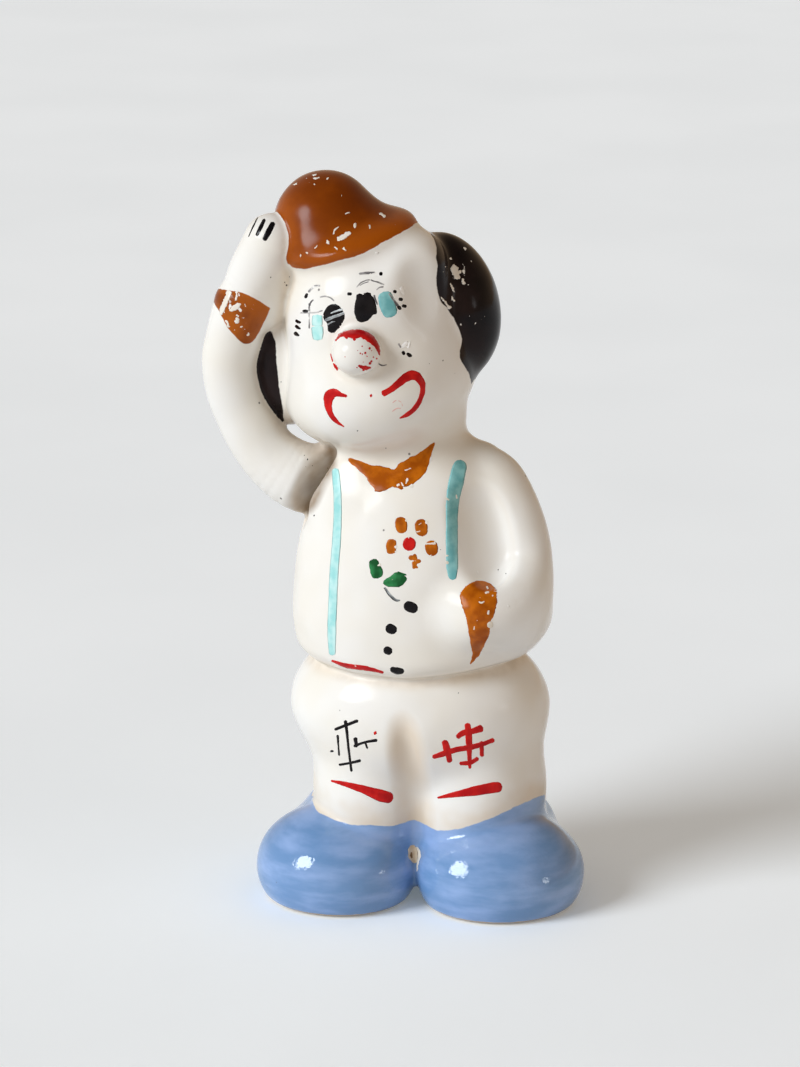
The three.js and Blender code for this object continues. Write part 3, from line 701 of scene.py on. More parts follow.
enamels = dict(
    blackEnamel=dict(thin=(0.010, 0.008, 0.009, 1), thick=(0.003, 0.002, 0.003, 1),
                     chips=0.80, rough=0.12, shine=0.15),
    wornBlack=dict(thin=(0.58, 0.56, 0.54, 1), thick=(0.085, 0.08, 0.085, 1),
                   chips=0.60, rough=0.35, shine=0.2),
    redEnamel=dict(thin=(0.62, 0.013, 0.010, 1), thick=(0.42, 0.003, 0.005, 1),
                   chips=0.74, rough=0.24, shine=0.15),
    tealEnamel=dict(thin=(0.27, 0.57, 0.58, 1), thick=(0.14, 0.40, 0.42, 1),
                    chips=0.80, rough=0.22, shine=0.2),
    # tealWash and paleTeal are tealEnamel made paler for marks on the figure's lit side: partly a thinner
    # wash, partly painted light
    tealWash=dict(thin=(0.53, 0.79, 0.77, 1), thick=(0.32, 0.67, 0.66, 1),
                  chips=0.80, rough=0.22, shine=0.2),
    paleTeal=dict(thin=(0.58, 0.83, 0.80, 1), thick=(0.36, 0.72, 0.69, 1),
                  chips=0.80, rough=0.22, shine=0.2),
    greenEnamel=dict(thin=(0.03, 0.22, 0.07, 1), thick=(0.006, 0.08, 0.02, 1),
                     chips=0.76, rough=0.25, shine=0.15),
    caramelEnamel=dict(thin=(0.52, 0.135, 0.004, 1), thick=(0.33, 0.070, 0.001, 1),
                       chips=0.84, rough=0.18, shine=0.15),
    faintRed=dict(thin=(0.82, 0.58, 0.53, 1), thick=(0.72, 0.38, 0.34, 1),
                  chips=0.60, rough=0.30, shine=0.2),
    # bareGlaze serves real chips and a few painted highlights
    bareGlaze=dict(thin=(0.84, 0.81, 0.75, 1), thick=(0.78, 0.72, 0.62, 1),
                   chips=2.0, rough=0.20, shine=0.3),
    freshChip=dict(thin=(0.90, 0.885, 0.86, 1), thick=(0.86, 0.84, 0.80, 1),
                   chips=2.0, rough=0.35, shine=0.2),
    # scuffedBlack serves the worn grey stem and the painted reflection across the right eye
    scuffedBlack=dict(thin=(0.60, 0.645, 0.66, 1), thick=(0.13, 0.14, 0.145, 1),
                      chips=2.0, rough=0.30, shine=0.3),
    wornGlaze=dict(thin=(0.74, 0.64, 0.50, 1), thick=(0.56, 0.42, 0.27, 1),
                   chips=2.0, rough=0.40, shine=0.2),
    bareClay=dict(thin=(0.34, 0.22, 0.12, 1), thick=(0.20, 0.11, 0.055, 1),
                  chips=2.0, rough=0.70, shine=0.1),
)
enamelFilm = dict(streaks=1.3, thinEdge=0.12, depths=(0.25, 0.62), fine=0.45, broad=2.5, chipEdge=0.012,
                  strength=0.4, height=0.03, noiseStart=31.0, noiseApart=7)


def enamelMaterial(name, paint, offset):
    film = enamelFilm
    material, tree, shader = startMaterial(name)
    thinning = times(tree, calc(tree, "ABSOLUTE", field(tree, "across")), film["thinEdge"])
    streaks = grain(tree, film["streaks"], 4, offset=offset)
    depth = ramp(tree, calc(tree, "SUBTRACT", streaks, thinning), *film["depths"])
    colour = mixed(tree, depth, paint["thin"], paint["thick"])
    worn = scuffs(tree, film["fine"], film["broad"], 2, offset + 2)
    gone = ramp(tree, worn, paint["chips"] - film["chipEdge"], paint["chips"])
    colour = mixed(tree, gone, colour, cream["light"])
    inputs = {"Strength": film["strength"], "Distance": film["height"] * mm, "Height": streaks}
    tree.links.new(colour, shader.inputs["Base Color"])
    shader.inputs["Roughness"].default_value = paint["rough"]
    shader.inputs["Specular IOR Level"].default_value = paint["shine"]
    tree.links.new(addNode(tree, "ShaderNodeBump", inputs).outputs[0], shader.inputs["Normal"])
    return material


enamelMaterials = {}
for number, (name, paint) in enumerate(enamels.items()):
    offset = enamelFilm["noiseStart"] + enamelFilm["noiseApart"] * number
    enamelMaterials[name] = enamelMaterial(name, paint, offset)
print("enamels: made")


# brush strokes: a ribbon along each stroke on the canvas, laid on the skin as seen from the painter's eye

brushInputs = dict(Strokes="Geometry", Skin="Object", Eye="Vector", Facing="Vector", Spacing="Float",
                   Film="Float", Tip="Float", Ragged="Float", Pitch="Float", Seed="Int", Bristles="Int",
                   Paint="Material")
# lengths in mm, and the tip as a share of the stroke's radius
usualBrush = dict(spacing=0.1, film=0.02, tip=0.8, ragged=0.12, pitch=0.5, seed=3, bristles=9, turns=24)
welding = 0.0005  # mm


def makeBrushTree():
    tree = bpy.data.node_groups.new("brushStroke", "GeometryNodeTree")
    for name, kind in brushInputs.items():
        tree.interface.new_socket(name, in_out="INPUT", socket_type="NodeSocket" + kind)
    tree.interface.new_socket("Enamel", in_out="OUTPUT", socket_type="NodeSocketGeometry")
    given = addNode(tree, "NodeGroupInput").outputs

    def make(kind, inputs=None, **settings):
        return addNode(tree, kind, inputs, **settings).outputs[0]

    def keep(geometry, name, value):
        inputs = {"Geometry": geometry, "Name": name, "Value": value}
        return make("GeometryNodeStoreNamedAttribute", inputs, data_type="FLOAT", domain="POINT")

    def recall(name):
        return make("GeometryNodeInputNamedAttribute", {"Name": name}, data_type="FLOAT")

    def leftOver(value):
        return calc(tree, "SUBTRACT", 1.0, value)

    inputs = {"Curve": given["Strokes"], "Length": given["Spacing"]}
    line = make("GeometryNodeResampleCurve", inputs, mode="LENGTH")
    line = make("GeometryNodeSetCurveNormal", {"Curve": line, "Normal": given["Facing"]}, mode="FREE")
    radius = make("GeometryNodeInputRadius")
    passed = addNode(tree, "GeometryNodeSplineParameter").outputs["Length"]
    length = addNode(tree, "GeometryNodeSplineLength").outputs["Length"]
    toTip = calc(tree, "MINIMUM", passed, calc(tree, "SUBTRACT", length, passed))
    inTip = calc(tree, "DIVIDE", toTip, times(tree, radius, given["Tip"]), clamp=True)
    cap = calc(tree, "SQRT", leftOver(calc(tree, "POWER", leftOver(inTip), 2.0)))  # round ends
    line = keep(line, "cap", cap)

    brush = make("GeometryNodeCurvePrimitiveLine", {"Start": (0, -1, 0), "End": (0, 1, 0)})
    brush = make("GeometryNodeResampleCurve", {"Curve": brush, "Count": given["Bristles"]})
    bristle = addNode(tree, "ShaderNodeSeparateXYZ", {0: make("GeometryNodeInputPosition")}).outputs[1]
    brush = keep(brush, "across", bristle)
    inputs = {"Curve": line, "Profile Curve": brush, "Scale": times(tree, radius, cap)}
    ribbon = make("GeometryNodeCurveToMesh", inputs)
    across, tip = recall("across"), recall("cap")

    place = make("GeometryNodeInputPosition")
    perMetre = calc(tree, "DIVIDE", 1.0, given["Pitch"])
    inputs = {"Vector": place, "W": given["Seed"], "Scale": perMetre, "Detail": 3.0}
    jitter = addNode(tree, "ShaderNodeTexNoise", inputs, noise_dimensions="4D").outputs["Color"]
    jitter = vectors(tree, "SUBTRACT", jitter, (0.5, 0.5, 0.5))
    jitter = vectors(tree, "SCALE", jitter, times(tree, given["Ragged"], times(tree, across, across)))
    ray = vectors(tree, "SUBTRACT", vectors(tree, "ADD", place, jitter), given["Eye"])
    skin = addNode(tree, "GeometryNodeObjectInfo", {"Object": given["Skin"]}).outputs["Geometry"]
    inputs = {"Target Geometry": skin, "Source Position": given["Eye"], "Ray Direction": ray,
              "Ray Length": 1.0}
    hit = addNode(tree, "GeometryNodeRaycast", inputs).outputs
    ribbon = make("GeometryNodeDeleteGeometry", {"Geometry": ribbon, "Selection": leftOver(hit["Is Hit"])})
    swell = leftOver(calc(tree, "POWER", calc(tree, "ABSOLUTE", across), 3.0))
    lift = times(tree, times(tree, swell, tip), given["Film"])

    def layer(share):  # the ribbon on the skin, that share of its thickness above it
        proud = vectors(tree, "SCALE", hit["Hit Normal"], times(tree, lift, share))
        spot = vectors(tree, "ADD", hit["Hit Position"], proud)
        return make("GeometryNodeSetPosition", {"Geometry": ribbon, "Position": spot})

    joined = addNode(tree, "GeometryNodeJoinGeometry")
    for sheet in (layer(1.0), make("GeometryNodeFlipFaces", {"Mesh": layer(-0.5)})):
        tree.links.new(sheet, joined.inputs[0])
    film = make("GeometryNodeMergeByDistance", {"Geometry": joined.outputs[0], "Distance": welding * mm})
    film = make("GeometryNodeSetShadeSmooth", {"Geometry": film})
    film = make("GeometryNodeRealizeInstances", {"Geometry": film})
    film = make("GeometryNodeSetMaterial", {"Geometry": film, "Material": given["Paint"]})
    addNode(tree, "NodeGroupOutput", {"Enamel": film})
    return tree


brushTree = makeBrushTree()
brushItems = brushTree.interface.items_tree
brushSockets = {item.name: item.identifier for item in brushItems if item.in_out == "INPUT"}
wholeSkin = fromPoints("whole_skin", skinPoints, skinQuads, skinNormals, {})


def brushOn(name, mark):
    plan = usualBrush | mark
    curve = bpy.data.curves.new(name, "CURVE")
    curve.dimensions = "3D"
    for stroke in plan["strokes"].values():
        spline = curve.splines.new("BEZIER")
        spline.bezier_points.add(len(stroke) - 1)
        spline.resolution_u = plan["turns"]
        for point, (x, y, width) in zip(spline.bezier_points, stroke):
            point.co = Vector((onCanvas(x, y) + bodyAxis) * mm)
            point.radius = width * pixel * mm / 2
            point.handle_left_type = point.handle_right_type = "AUTO"
    drawn = bpy.data.objects.new(name + "_strokes", curve)
    scene.collection.objects.link(drawn)
    modifier = drawn.modifiers.new("brush", "NODES")
    modifier.node_group = brushTree
    values = {"Skin": wholeSkin, "Eye": (eye + bodyAxis) * mm, "Facing": towardsEye, "Tip": plan["tip"],
              "Seed": plan["seed"], "Bristles": plan["bristles"], "Paint": enamelMaterials[plan["paint"]]}
    for key in ("Spacing", "Film", "Ragged", "Pitch"):
        values[key] = plan[key.lower()] * mm
    for key, value in values.items():
        modifier[brushSockets[key]] = value
    graph = bpy.context.evaluated_depsgraph_get()
    mesh = bpy.data.meshes.new_from_object(drawn.evaluated_get(graph), depsgraph=graph)
    bpy.data.objects.remove(drawn)
    piece = bpy.data.objects.new(name, mesh)
    scene.collection.objects.link(piece)
    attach(piece, "root")
    print(f"paint: {name}, {len(mesh.polygons)} faces")


# face: x, y and width of each stroke in the photo's pixels

dabSlant = 0.4


def dabs(name, share, spots):  # short strokes about spots of x, y and width
    return {f"{name}{number}": ((x - width / share, y, width), (x + width / share, y + dabSlant, width))
            for number, (x, y, width) in enumerate(spots)}


eyes = dict(paint="blackEnamel", slot="black_enamel", tip=0.45, ragged=0.12, strokes=dict(
    right=((335.6, 304, 7), (334.6, 308.6, 16.5), (334, 314, 21.6), (334, 318.6, 21.4),
           (333.8, 323.6, 15.6), (332.2, 328.6, 9.6), (331, 333, 6)),
    left=((364.6, 294.4, 14), (365, 300, 19.4), (365.4, 306, 22), (365.6, 312, 23.4), (366, 317, 20),
          (368, 320.6, 9)),
    leftLobe=((359.4, 293.4, 6), (360.4, 301, 9)),
    leftCrown=((367.2, 292, 7), (367.6, 301, 10)),
))
brushOn("eyes", eyes)

# a painted reflection: pale glare streaks across the right eye's black paint
eyeGlint = dict(paint="scuffedBlack", slot="black_enamel", tip=0.95, ragged=0.3, pitch=0.3, film=0.03,
                spacing=0.05, strokes=dict(
    broad=((324.4, 320.8, 2.4), (330, 318.4, 4), (336.4, 315.8, 3.6), (344.4, 313, 3)),
    upper=((330.4, 313.6, 1.2), (335.4, 311.4, 2.4), (343, 309.2, 2.4)),
    low=((327, 325, 1.2), (331, 322.4, 1.8), (335.6, 321.4, 0.8)),
))
brushOn("eye_scuff", eyeGlint)

eyeShadeLeft = dict(paint="tealEnamel", slot="teal_enamel", tip=0.7, strokes=dict(
    shade=((383.4, 291.6, 13), (387.4, 303.6, 17), (391.4, 317.4, 14)),
))
brushOn("eye_shade_left", eyeShadeLeft)

eyeShadeRight = dict(paint="paleTeal", slot="teal_enamel", tip=0.4, ragged=0.25, strokes=dict(
    upper=((317.4, 314.5, 10.5), (317, 326.5, 11)),
    lower=((317.2, 325.5, 11.5), (317.6, 333, 12), (318, 340.4, 9)),
))
brushOn("eye_shade_right", eyeShadeRight)

lashes = dict(paint="blackEnamel", slot="black_enamel", tip=0.9, ragged=0.08, spacing=0.05, strokes=dict(
    first=((295.4, 319.8, 2.8), (297.6, 321.6, 3.2), (301, 322.9, 2.4)),
    second=((295.2, 325.2, 3), (297.4, 327.2, 3.4), (300.8, 329.1, 1.4)),
    third=((294.2, 332, 3.2), (296.2, 334, 4), (299.4, 335.8, 1.6)),
    corner=((302.2, 311.2, 2.4), (305.6, 311, 3.2), (308.4, 311, 1.8)),
    rightBrow=((305, 298.4, 2.6), (306.2, 296, 3.4), (307.4, 293.2, 2.2)),
    browDot=((379, 273.7, 3.8), (382.8, 273.9, 3.8)),
    bridgeDot=((347, 293.8, 3.2), (352.2, 294.1, 3.2)),
    outerTop=((392.9, 291.4, 3.2), (396.8, 292, 3.2)),
    outerMiddle=((398.4, 298.9, 3.2), (403, 299.7, 3.6)),
    outerLow=((401.8, 305.5, 3.2), (406.8, 306.7, 3.4)),
    outerBottom=((397.4, 305.4, 2.4), (399.4, 307.8, 4), (401, 309.8, 2.2)),
    cheekFirst=((402.4, 351, 3.2), (404.6, 355, 3.2)),
    cheekSecond=((406.6, 353, 2.4), (409.6, 355.2, 4.2), (412, 356.4, 2)),
))
brushOn("lashes", lashes)

lids = dict(paint="wornBlack", slot="black_enamel", tip=0.9, ragged=0.16, spacing=0.06, strokes=dict(
    rightSide=((309, 303, 1.2), (309.2, 310, 2), (309.2, 318, 1), (309.4, 328.6, 1.7)),
    rightArc=((309.6, 306, 1.2), (311, 302.4, 1.7), (313.8, 299.6, 1.4)),
    rightArcTop=((319.6, 297.2, 1.4), (326, 296.4, 1.8), (330.6, 298, 1.6), (334.2, 301.2, 1.4)),
    rightLine=((300.4, 312.9, 1.7), (308, 312.6, 1.7), (316, 312.4, 1.3), (322.6, 310.4, 1.4)),
    rightBrow=((308.2, 292.2, 2.4), (312, 288.4, 2.4), (316, 286, 2.6), (320.2, 286, 1.6)),
    leftBrow=((358.8, 273.8, 2.4), (367, 273, 2.8), (375.4, 272.7, 2)),
    leftArc=((356.5, 287.2, 1.2), (360.4, 283.2, 1.4), (366, 280.4, 1.3), (370, 279.8, 1.3)),
    leftArcLow=((359.4, 285.6, 0.9), (364, 283.2, 1.1), (368.8, 281.8, 0.9)),
    leftArcOuter=((370.4, 279.8, 1.6), (376.4, 281.9, 1.4), (380.6, 283.4, 1.9), (384.2, 284.7, 1.2)),
    leftTail=((376.2, 290.1, 1.2), (379.6, 287.6, 1.5), (383.6, 286.5, 2.1)),
    bridge=((374, 294.8, 2), (375, 298.4, 2.2), (377.6, 304.8, 1.4)),
    outerArc=((388.4, 293, 1.4), (392.6, 298.6, 2.6), (396.6, 304, 2.8), (399, 306.8, 3.2)),
    cheekArc=((378.4, 363.5, 1.2), (382.4, 365.4, 1.7), (387, 364.9, 1)),
    cheekScuff=((398.4, 343.4, 2.2), (401, 348, 1.6)),
))
brushOn("lids", lids)

noseRed = dict(paint="redEnamel", slot="red_enamel", tip=0.8, ragged=0.24, pitch=0.3, spacing=0.06,
               strokes=dict(
    crescent=((335, 341.2, 1.6), (338, 337.3, 2.6), (342, 334.4, 4.6), (346, 334, 7), (351, 333.4, 9.4),
              (354.6, 333.8, 10.6), (358, 333.2, 9.4), (361.6, 333.4, 8.2), (365.4, 335, 8.8),
              (369.8, 337.8, 9), (373.4, 341.4, 7.2), (377, 346.6, 4.8), (380, 355.6, 1.2)),
    toothPale=((345.6, 336, 3), (347.4, 339, 2)),
    tooth=((354, 337.4, 4.6), (354.7, 340.9, 2)),
    toothSmall=((363.2, 336.8, 3.4), (363.9, 339.6, 1.8)),
    toothRight=((369.2, 339.6, 4), (370, 342.8, 2.2)),
    left=((330.6, 353.4, 0.8), (331.8, 358.4, 1.4), (333, 362, 1.4)),
    leftFoot=((333.4, 363, 1.4), (335.6, 366.8, 3.4), (337.6, 370.6, 1.2)),
    low=((358, 365.4, 2.2), (361.4, 367, 3.6), (365, 368, 4.6), (371.2, 367.8, 1.4)),
    lowFoot=((363.8, 368.4, 3.2), (363, 371.2, 2)),
))
brushOn("nose_red", noseRed)

noseFlecks = dict(paint="redEnamel", slot="red_enamel", tip=0.9, ragged=0.16, pitch=0.2, spacing=0.03,
                  strokes=dabs("fleck", 2, (
    (362.2, 346, 1.6), (369.6, 348.2, 2.4), (360.4, 353.2, 1.7), (362.4, 354, 1.5), (365.2, 352.8, 2.4),
    (371.4, 361.2, 2.4), (370, 363.2, 2.8), (357.6, 350.2, 1.0), (373.4, 356.8, 1.6), (367, 356, 1.1),
    (376.8, 358.4, 1.8), (357, 367.4, 1.4), (345, 356.6, 1.1), (371.6, 350.4, 1.1), (363.4, 361.8, 0.9),
)))
brushOn("nose_flecks", noseFlecks)

mouth = dict(paint="redEnamel", slot="red_enamel", tip=0.8, ragged=0.14, strokes=dict(
    left=((381.8, 394.6, 6.5), (390.9, 389.5, 6), (399, 383.1, 7.6), (407.2, 376.9, 9.4),
          (413.6, 375.2, 9.8), (420, 379.7, 8), (422.7, 387.7, 5.6), (420.9, 397.6, 5), (415.4, 407.4, 5),
          (407.2, 414.7, 4.6), (399.4, 418.4, 1.4)),
    right=((347.6, 396.2, 3), (341, 394.8, 4.5), (334.5, 393, 9), (330, 395.5, 11.5), (328.2, 402.4, 9),
           (329.6, 411, 6), (334.5, 419.5, 4.6), (344.4, 427, 1.2)),
    dot=((369.6, 395.4, 4), (372.4, 395.6, 3)),
))
brushOn("mouth", mouth)

mouthScuff = dict(paint="faintRed", slot="red_enamel", tip=0.95, ragged=0.1, spacing=0.05, strokes=dict(
    upper=((392.4, 403, 0.7), (397, 400.4, 0.9), (401.6, 402.4, 0.7)),
    lower=((392, 411.6, 0.8), (396.4, 408.6, 1.2), (401.4, 408.4, 0.8)),
    side=((401.8, 403.4, 0.6), (402.8, 406.4, 0.7)),
))
brushOn("mouth_scuff", mouthScuff)

paleChips = dict(paint="freshChip", slot="cream_glaze", tip=0.9, ragged=0.5, pitch=0.28, film=0.03,
                 spacing=0.05, strokes=dict(
    lashUpper=((401.8, 286, 3), (402.6, 291, 4.4), (404, 294.4, 2.4)),
    cheekUpper=((407.6, 341.4, 4), (404.6, 345.4, 5), (402, 348, 2.4)),
    cheekOuter=((410, 341.4, 2), (408.6, 348.4, 2.2)),
    forehead=((375.4, 253.4, 2.2), (378.4, 252.8, 2.2)),
    collarRight=((430.4, 458, 2.2), (431.6, 460, 2.2)),
    elbowOne=((477.4, 571.8, 2.6), (479, 572, 2.6)),
    elbowTwo=((507.4, 605.8, 3), (509, 606.2, 3)),
))
brushOn("pale_chips", paleChips)

specks = dict(paint="blackEnamel", slot="black_enamel", tip=0.9, ragged=0.12, pitch=0.2, spacing=0.03,
              strokes=dabs("speck", 3, (
    (286.6, 285, 2.2), (284.8, 282, 1.3), (270.6, 277.2, 1.6), (289.6, 276.6, 1.1), (443, 360.4, 1.6),
    (429.4, 363.4, 1.0), (295, 429.6, 1.6), (281, 381.8, 1.4), (357.6, 430.6, 1.6), (385.8, 448, 1.5),
    (314, 515.4, 1.9), (498.2, 569.6, 1.6), (505.8, 573.4, 1.4), (458.4, 692.8, 1.3), (307.6, 459.2, 1.9),
    (304.4, 455.2, 1.2), (312.4, 465.4, 1.1), (327.4, 468, 1.0), (440.6, 549.4, 1.2), (305.8, 466.6, 1.0),
)))
brushOn("specks", specks)


# shirt

bowTie = dict(paint="caramelEnamel", slot="brown_enamel", tip=0.6, ragged=0.2, bristles=19, strokes=dict(
    rightWing=((348.2, 458.5, 2.6), (353, 461.6, 6), (359, 464.8, 8.2), (366, 469.4, 11.4), (375, 474, 17)),
    middle=((367.6, 480.4, 16), (373, 478.6, 25.6), (379.6, 478.8, 26.8), (386.6, 478.2, 22.6),
            (392, 478, 17.6), (399, 477, 16)),
    leftWing=((434.6, 442.4, 2), (427.4, 452.4, 9), (417.6, 465, 22), (406, 474, 25), (397, 478.6, 19),
              (389, 480, 14)),
    wornEnd=((397.6, 486, 3.2), (403.4, 488.8, 3.4)),
))
brushOn("bow_tie", bowTie)

braceRight = dict(paint="tealWash", slot="teal_enamel", tip=0.9, ragged=0.14, pitch=0.9, strokes=dict(
    strap=((335.1, 468, 7), (336.5, 481.7, 8.3), (337.7, 502.3, 8), (336.8, 536.8, 9), (334.4, 567.8, 9),
           (332.7, 602.2, 9), (331.8, 636.6, 8.8), (332.4, 655.6, 6.5)),
))
brushOn("brace_right", braceRight)

braceLeft = dict(paint="tealEnamel", slot="teal_enamel", tip=0.9, ragged=0.18, pitch=0.9, strokes=dict(
    strap=((460.6, 459.6, 11), (459.6, 467, 14.5), (456.2, 481.7, 15.5), (452.7, 498.9, 13.8),
           (451.9, 519.5, 12), (451.9, 541.9, 12), (452.4, 567.8, 12), (452.6, 580.2, 7)),
))
brushOn("brace_left", braceLeft)

petals = dict(paint="caramelEnamel", slot="brown_enamel", tip=0.85, ragged=0.2, spacing=0.06, strokes=dict(
    topLeft=((400.4, 516.8, 11), (401.2, 525, 12.2), (402.4, 533.4, 10)),
    topRight=((420, 519, 11), (421.4, 527.6, 12.8), (422.6, 536.4, 10)),
    left=((393, 539, 9), (391, 546.6, 10.4), (392.4, 554, 9)),
    right=((430.6, 540.6, 12), (431.6, 548, 13), (433, 556, 10)),
    lowLeft=((409.6, 555.4, 4.4), (413, 560, 6)),
    lowTop=((414.8, 553.8, 3.6), (414.6, 561, 6)),
    lowRight=((415.4, 561.6, 5.4), (421, 561.2, 3.4)),
    lowFoot=((414.6, 561, 6), (414, 569, 3.6)),
    lowToe=((414.6, 565.4, 2.6), (417.8, 568.2, 2)),
))
brushOn("petals", petals)

flowerHeart = dict(paint="redEnamel", slot="red_enamel", tip=0.95, strokes=dict(
    heart=((410.6, 537, 12), (409.3, 544, 13.2), (408, 551, 12)),
))
brushOn("flower_heart", flowerHeart)

leaves = dict(paint="greenEnamel", slot="green_enamel", tip=0.7, ragged=0.22, strokes=dict(
    upright=((373, 558.8, 8), (374.6, 565.4, 10.6), (376.4, 571, 12.4), (378, 578.6, 10.4)),
    lying=((382.8, 583.4, 3.4), (387.4, 582.4, 8.6), (392, 581.6, 11), (397.4, 579.8, 15.6),
           (402, 579.4, 11.6), (407, 578.2, 3)),
    tip=((396.4, 572.6, 3.6), (401, 573.8, 2.6), (406.8, 575, 1.6)),
))
brushOn("leaves", leaves)

stem = dict(paint="scuffedBlack", slot="black_enamel", tip=0.9, ragged=0.1, spacing=0.05, strokes=dict(
    stalk=((384.6, 587.2, 2), (388.4, 593, 2.6), (392.4, 597.4, 2.6), (397, 600.4, 2.4), (400, 600.2, 1.6)),
))
brushOn("stem", stem)

stemEdge = dict(paint="blackEnamel", slot="black_enamel", tip=0.9, ragged=0.06, spacing=0.05, strokes=dict(
    edge=((383.8, 587.6, 0.9), (387.6, 593.4, 1.2), (391.6, 598, 1.2), (396.4, 601, 1.2),
          (400.2, 600.3, 0.9)),
))
brushOn("stem_edge", stemEdge)

buttons = dict(paint="blackEnamel", slot="black_enamel", tip=0.9, ragged=0.12, strokes=dict(
    first=((404, 604, 9), (410.5, 607, 11), (417.6, 610.4, 9)),
    second=((385.8, 626.4, 9), (391.1, 629, 10), (396.8, 631.6, 8)),
    third=((383.4, 649, 7.4), (387.6, 650.6, 8.4), (392.2, 652.6, 7)),
    fourth=((390, 668.6, 5), (397.1, 670.9, 7.4), (404.4, 671, 5)),
))
brushOn("buttons", buttons)

hemStroke = dict(paint="redEnamel", slot="red_enamel", tip=0.9, ragged=0.14, strokes=dict(
    hem=((331.2, 660.6, 2), (346.8, 665.7, 5), (365.8, 668.3, 5.2), (384, 672.6, 2.6)),
))
brushOn("hem_stroke", hemStroke)

pocketPatch = dict(paint="caramelEnamel", slot="brown_enamel", tip=0.7, ragged=0.3, pitch=0.5, bristles=29,
                   strokes=dict(
    patch=((476.4, 580.6, 26), (478.2, 592.6, 38), (479.2, 603, 36), (479.4, 612, 31), (478.8, 621, 24),
           (479, 631.5, 22), (477.6, 643.5, 15), (475, 655.6, 6), (470.2, 664.4, 1)),
))
brushOn("pocket_patch", pocketPatch)


# trousers and glove

kneeDarn = dict(paint="blackEnamel", slot="black_enamel", tip=0.8, ragged=0.07, strokes=dict(
    upright=((345.3, 720, 3.6), (347, 733, 3), (348.6, 749, 2.4), (351.6, 772, 2.6)),
    top=((334.2, 729.8, 3), (344.6, 725.8, 3), (358.4, 720.4, 3.4)),
    left=((337.6, 734.6, 2.8), (338.4, 746, 1.8), (339.2, 756, 2.2)),
    tick=((329.8, 751.4, 2.4), (334, 751, 2)),
    bottom=((338.4, 765, 2.4), (350, 763, 2.6), (361.2, 760.4, 3.2)),
    right=((355.2, 737, 4.4), (356.6, 747.6, 3)),
    rightBar=((353.4, 746.4, 3), (363.9, 742.6, 2.6), (377.6, 740, 3.2)),
    rightTick=((364.8, 741.4, 2), (367.6, 749, 2.2)),
))
brushOn("knee_darn_right", kneeDarn)

kneeRed = dict(paint="redEnamel", slot="red_enamel", tip=0.8, ragged=0.14, strokes=dict(
    upright=((467.4, 722.8, 6), (468.6, 735, 7), (469.2, 748, 6), (469.8, 769, 3)),
    top=((456.4, 738, 5), (464, 732.6, 6), (473, 731, 6), (483.4, 727.6, 8)),
    bar=((432.2, 757.6, 4), (442, 754.2, 6), (455, 750, 5.6), (471.4, 747.2, 5.6), (484, 743.6, 4.6),
         (494.6, 739.6, 4.6)),
    left=((444, 739.8, 6), (446.6, 748, 7.4), (450.2, 762.8, 5)),
    right=((481.6, 741, 4.6), (482, 757, 4)),
    bottom=((459, 763.4, 3.4), (470, 762.6, 5), (478.8, 758, 4)),
    stray=((373.6, 732.4, 4), (376.8, 733.6, 4.4)),
))
brushOn("knee_darn_left", kneeRed)

trouserCuffs = dict(paint="redEnamel", slot="red_enamel", tip=0.85, ragged=0.1, film=0.03, strokes=dict(
    right=((330.6, 780.6, 2), (344.6, 784, 5), (362.7, 789.2, 8), (380.8, 795.6, 12.5), (393.4, 798.6, 11)),
    left=((437, 797.8, 2), (455.6, 794.4, 6), (475.9, 790.8, 10), (494, 787.6, 11), (502.4, 786.8, 10)),
))
brushOn("trouser_cuffs", trouserCuffs)

gloveLines = dict(paint="blackEnamel", slot="black_enamel", tip=0.9, ragged=0.06, strokes=dict(
    first=((258.4, 216, 1.0), (253.4, 226, 1.7), (248.2, 237.2, 0.9)),
    second=((264.9, 218.6, 3.2), (260.6, 227.4, 4.2), (256.4, 236, 3)),
    third=((273.8, 221.8, 5), (268.9, 231.2, 6.2), (263.8, 240.8, 4.6)),
))
brushOn("glove_lines", gloveLines)
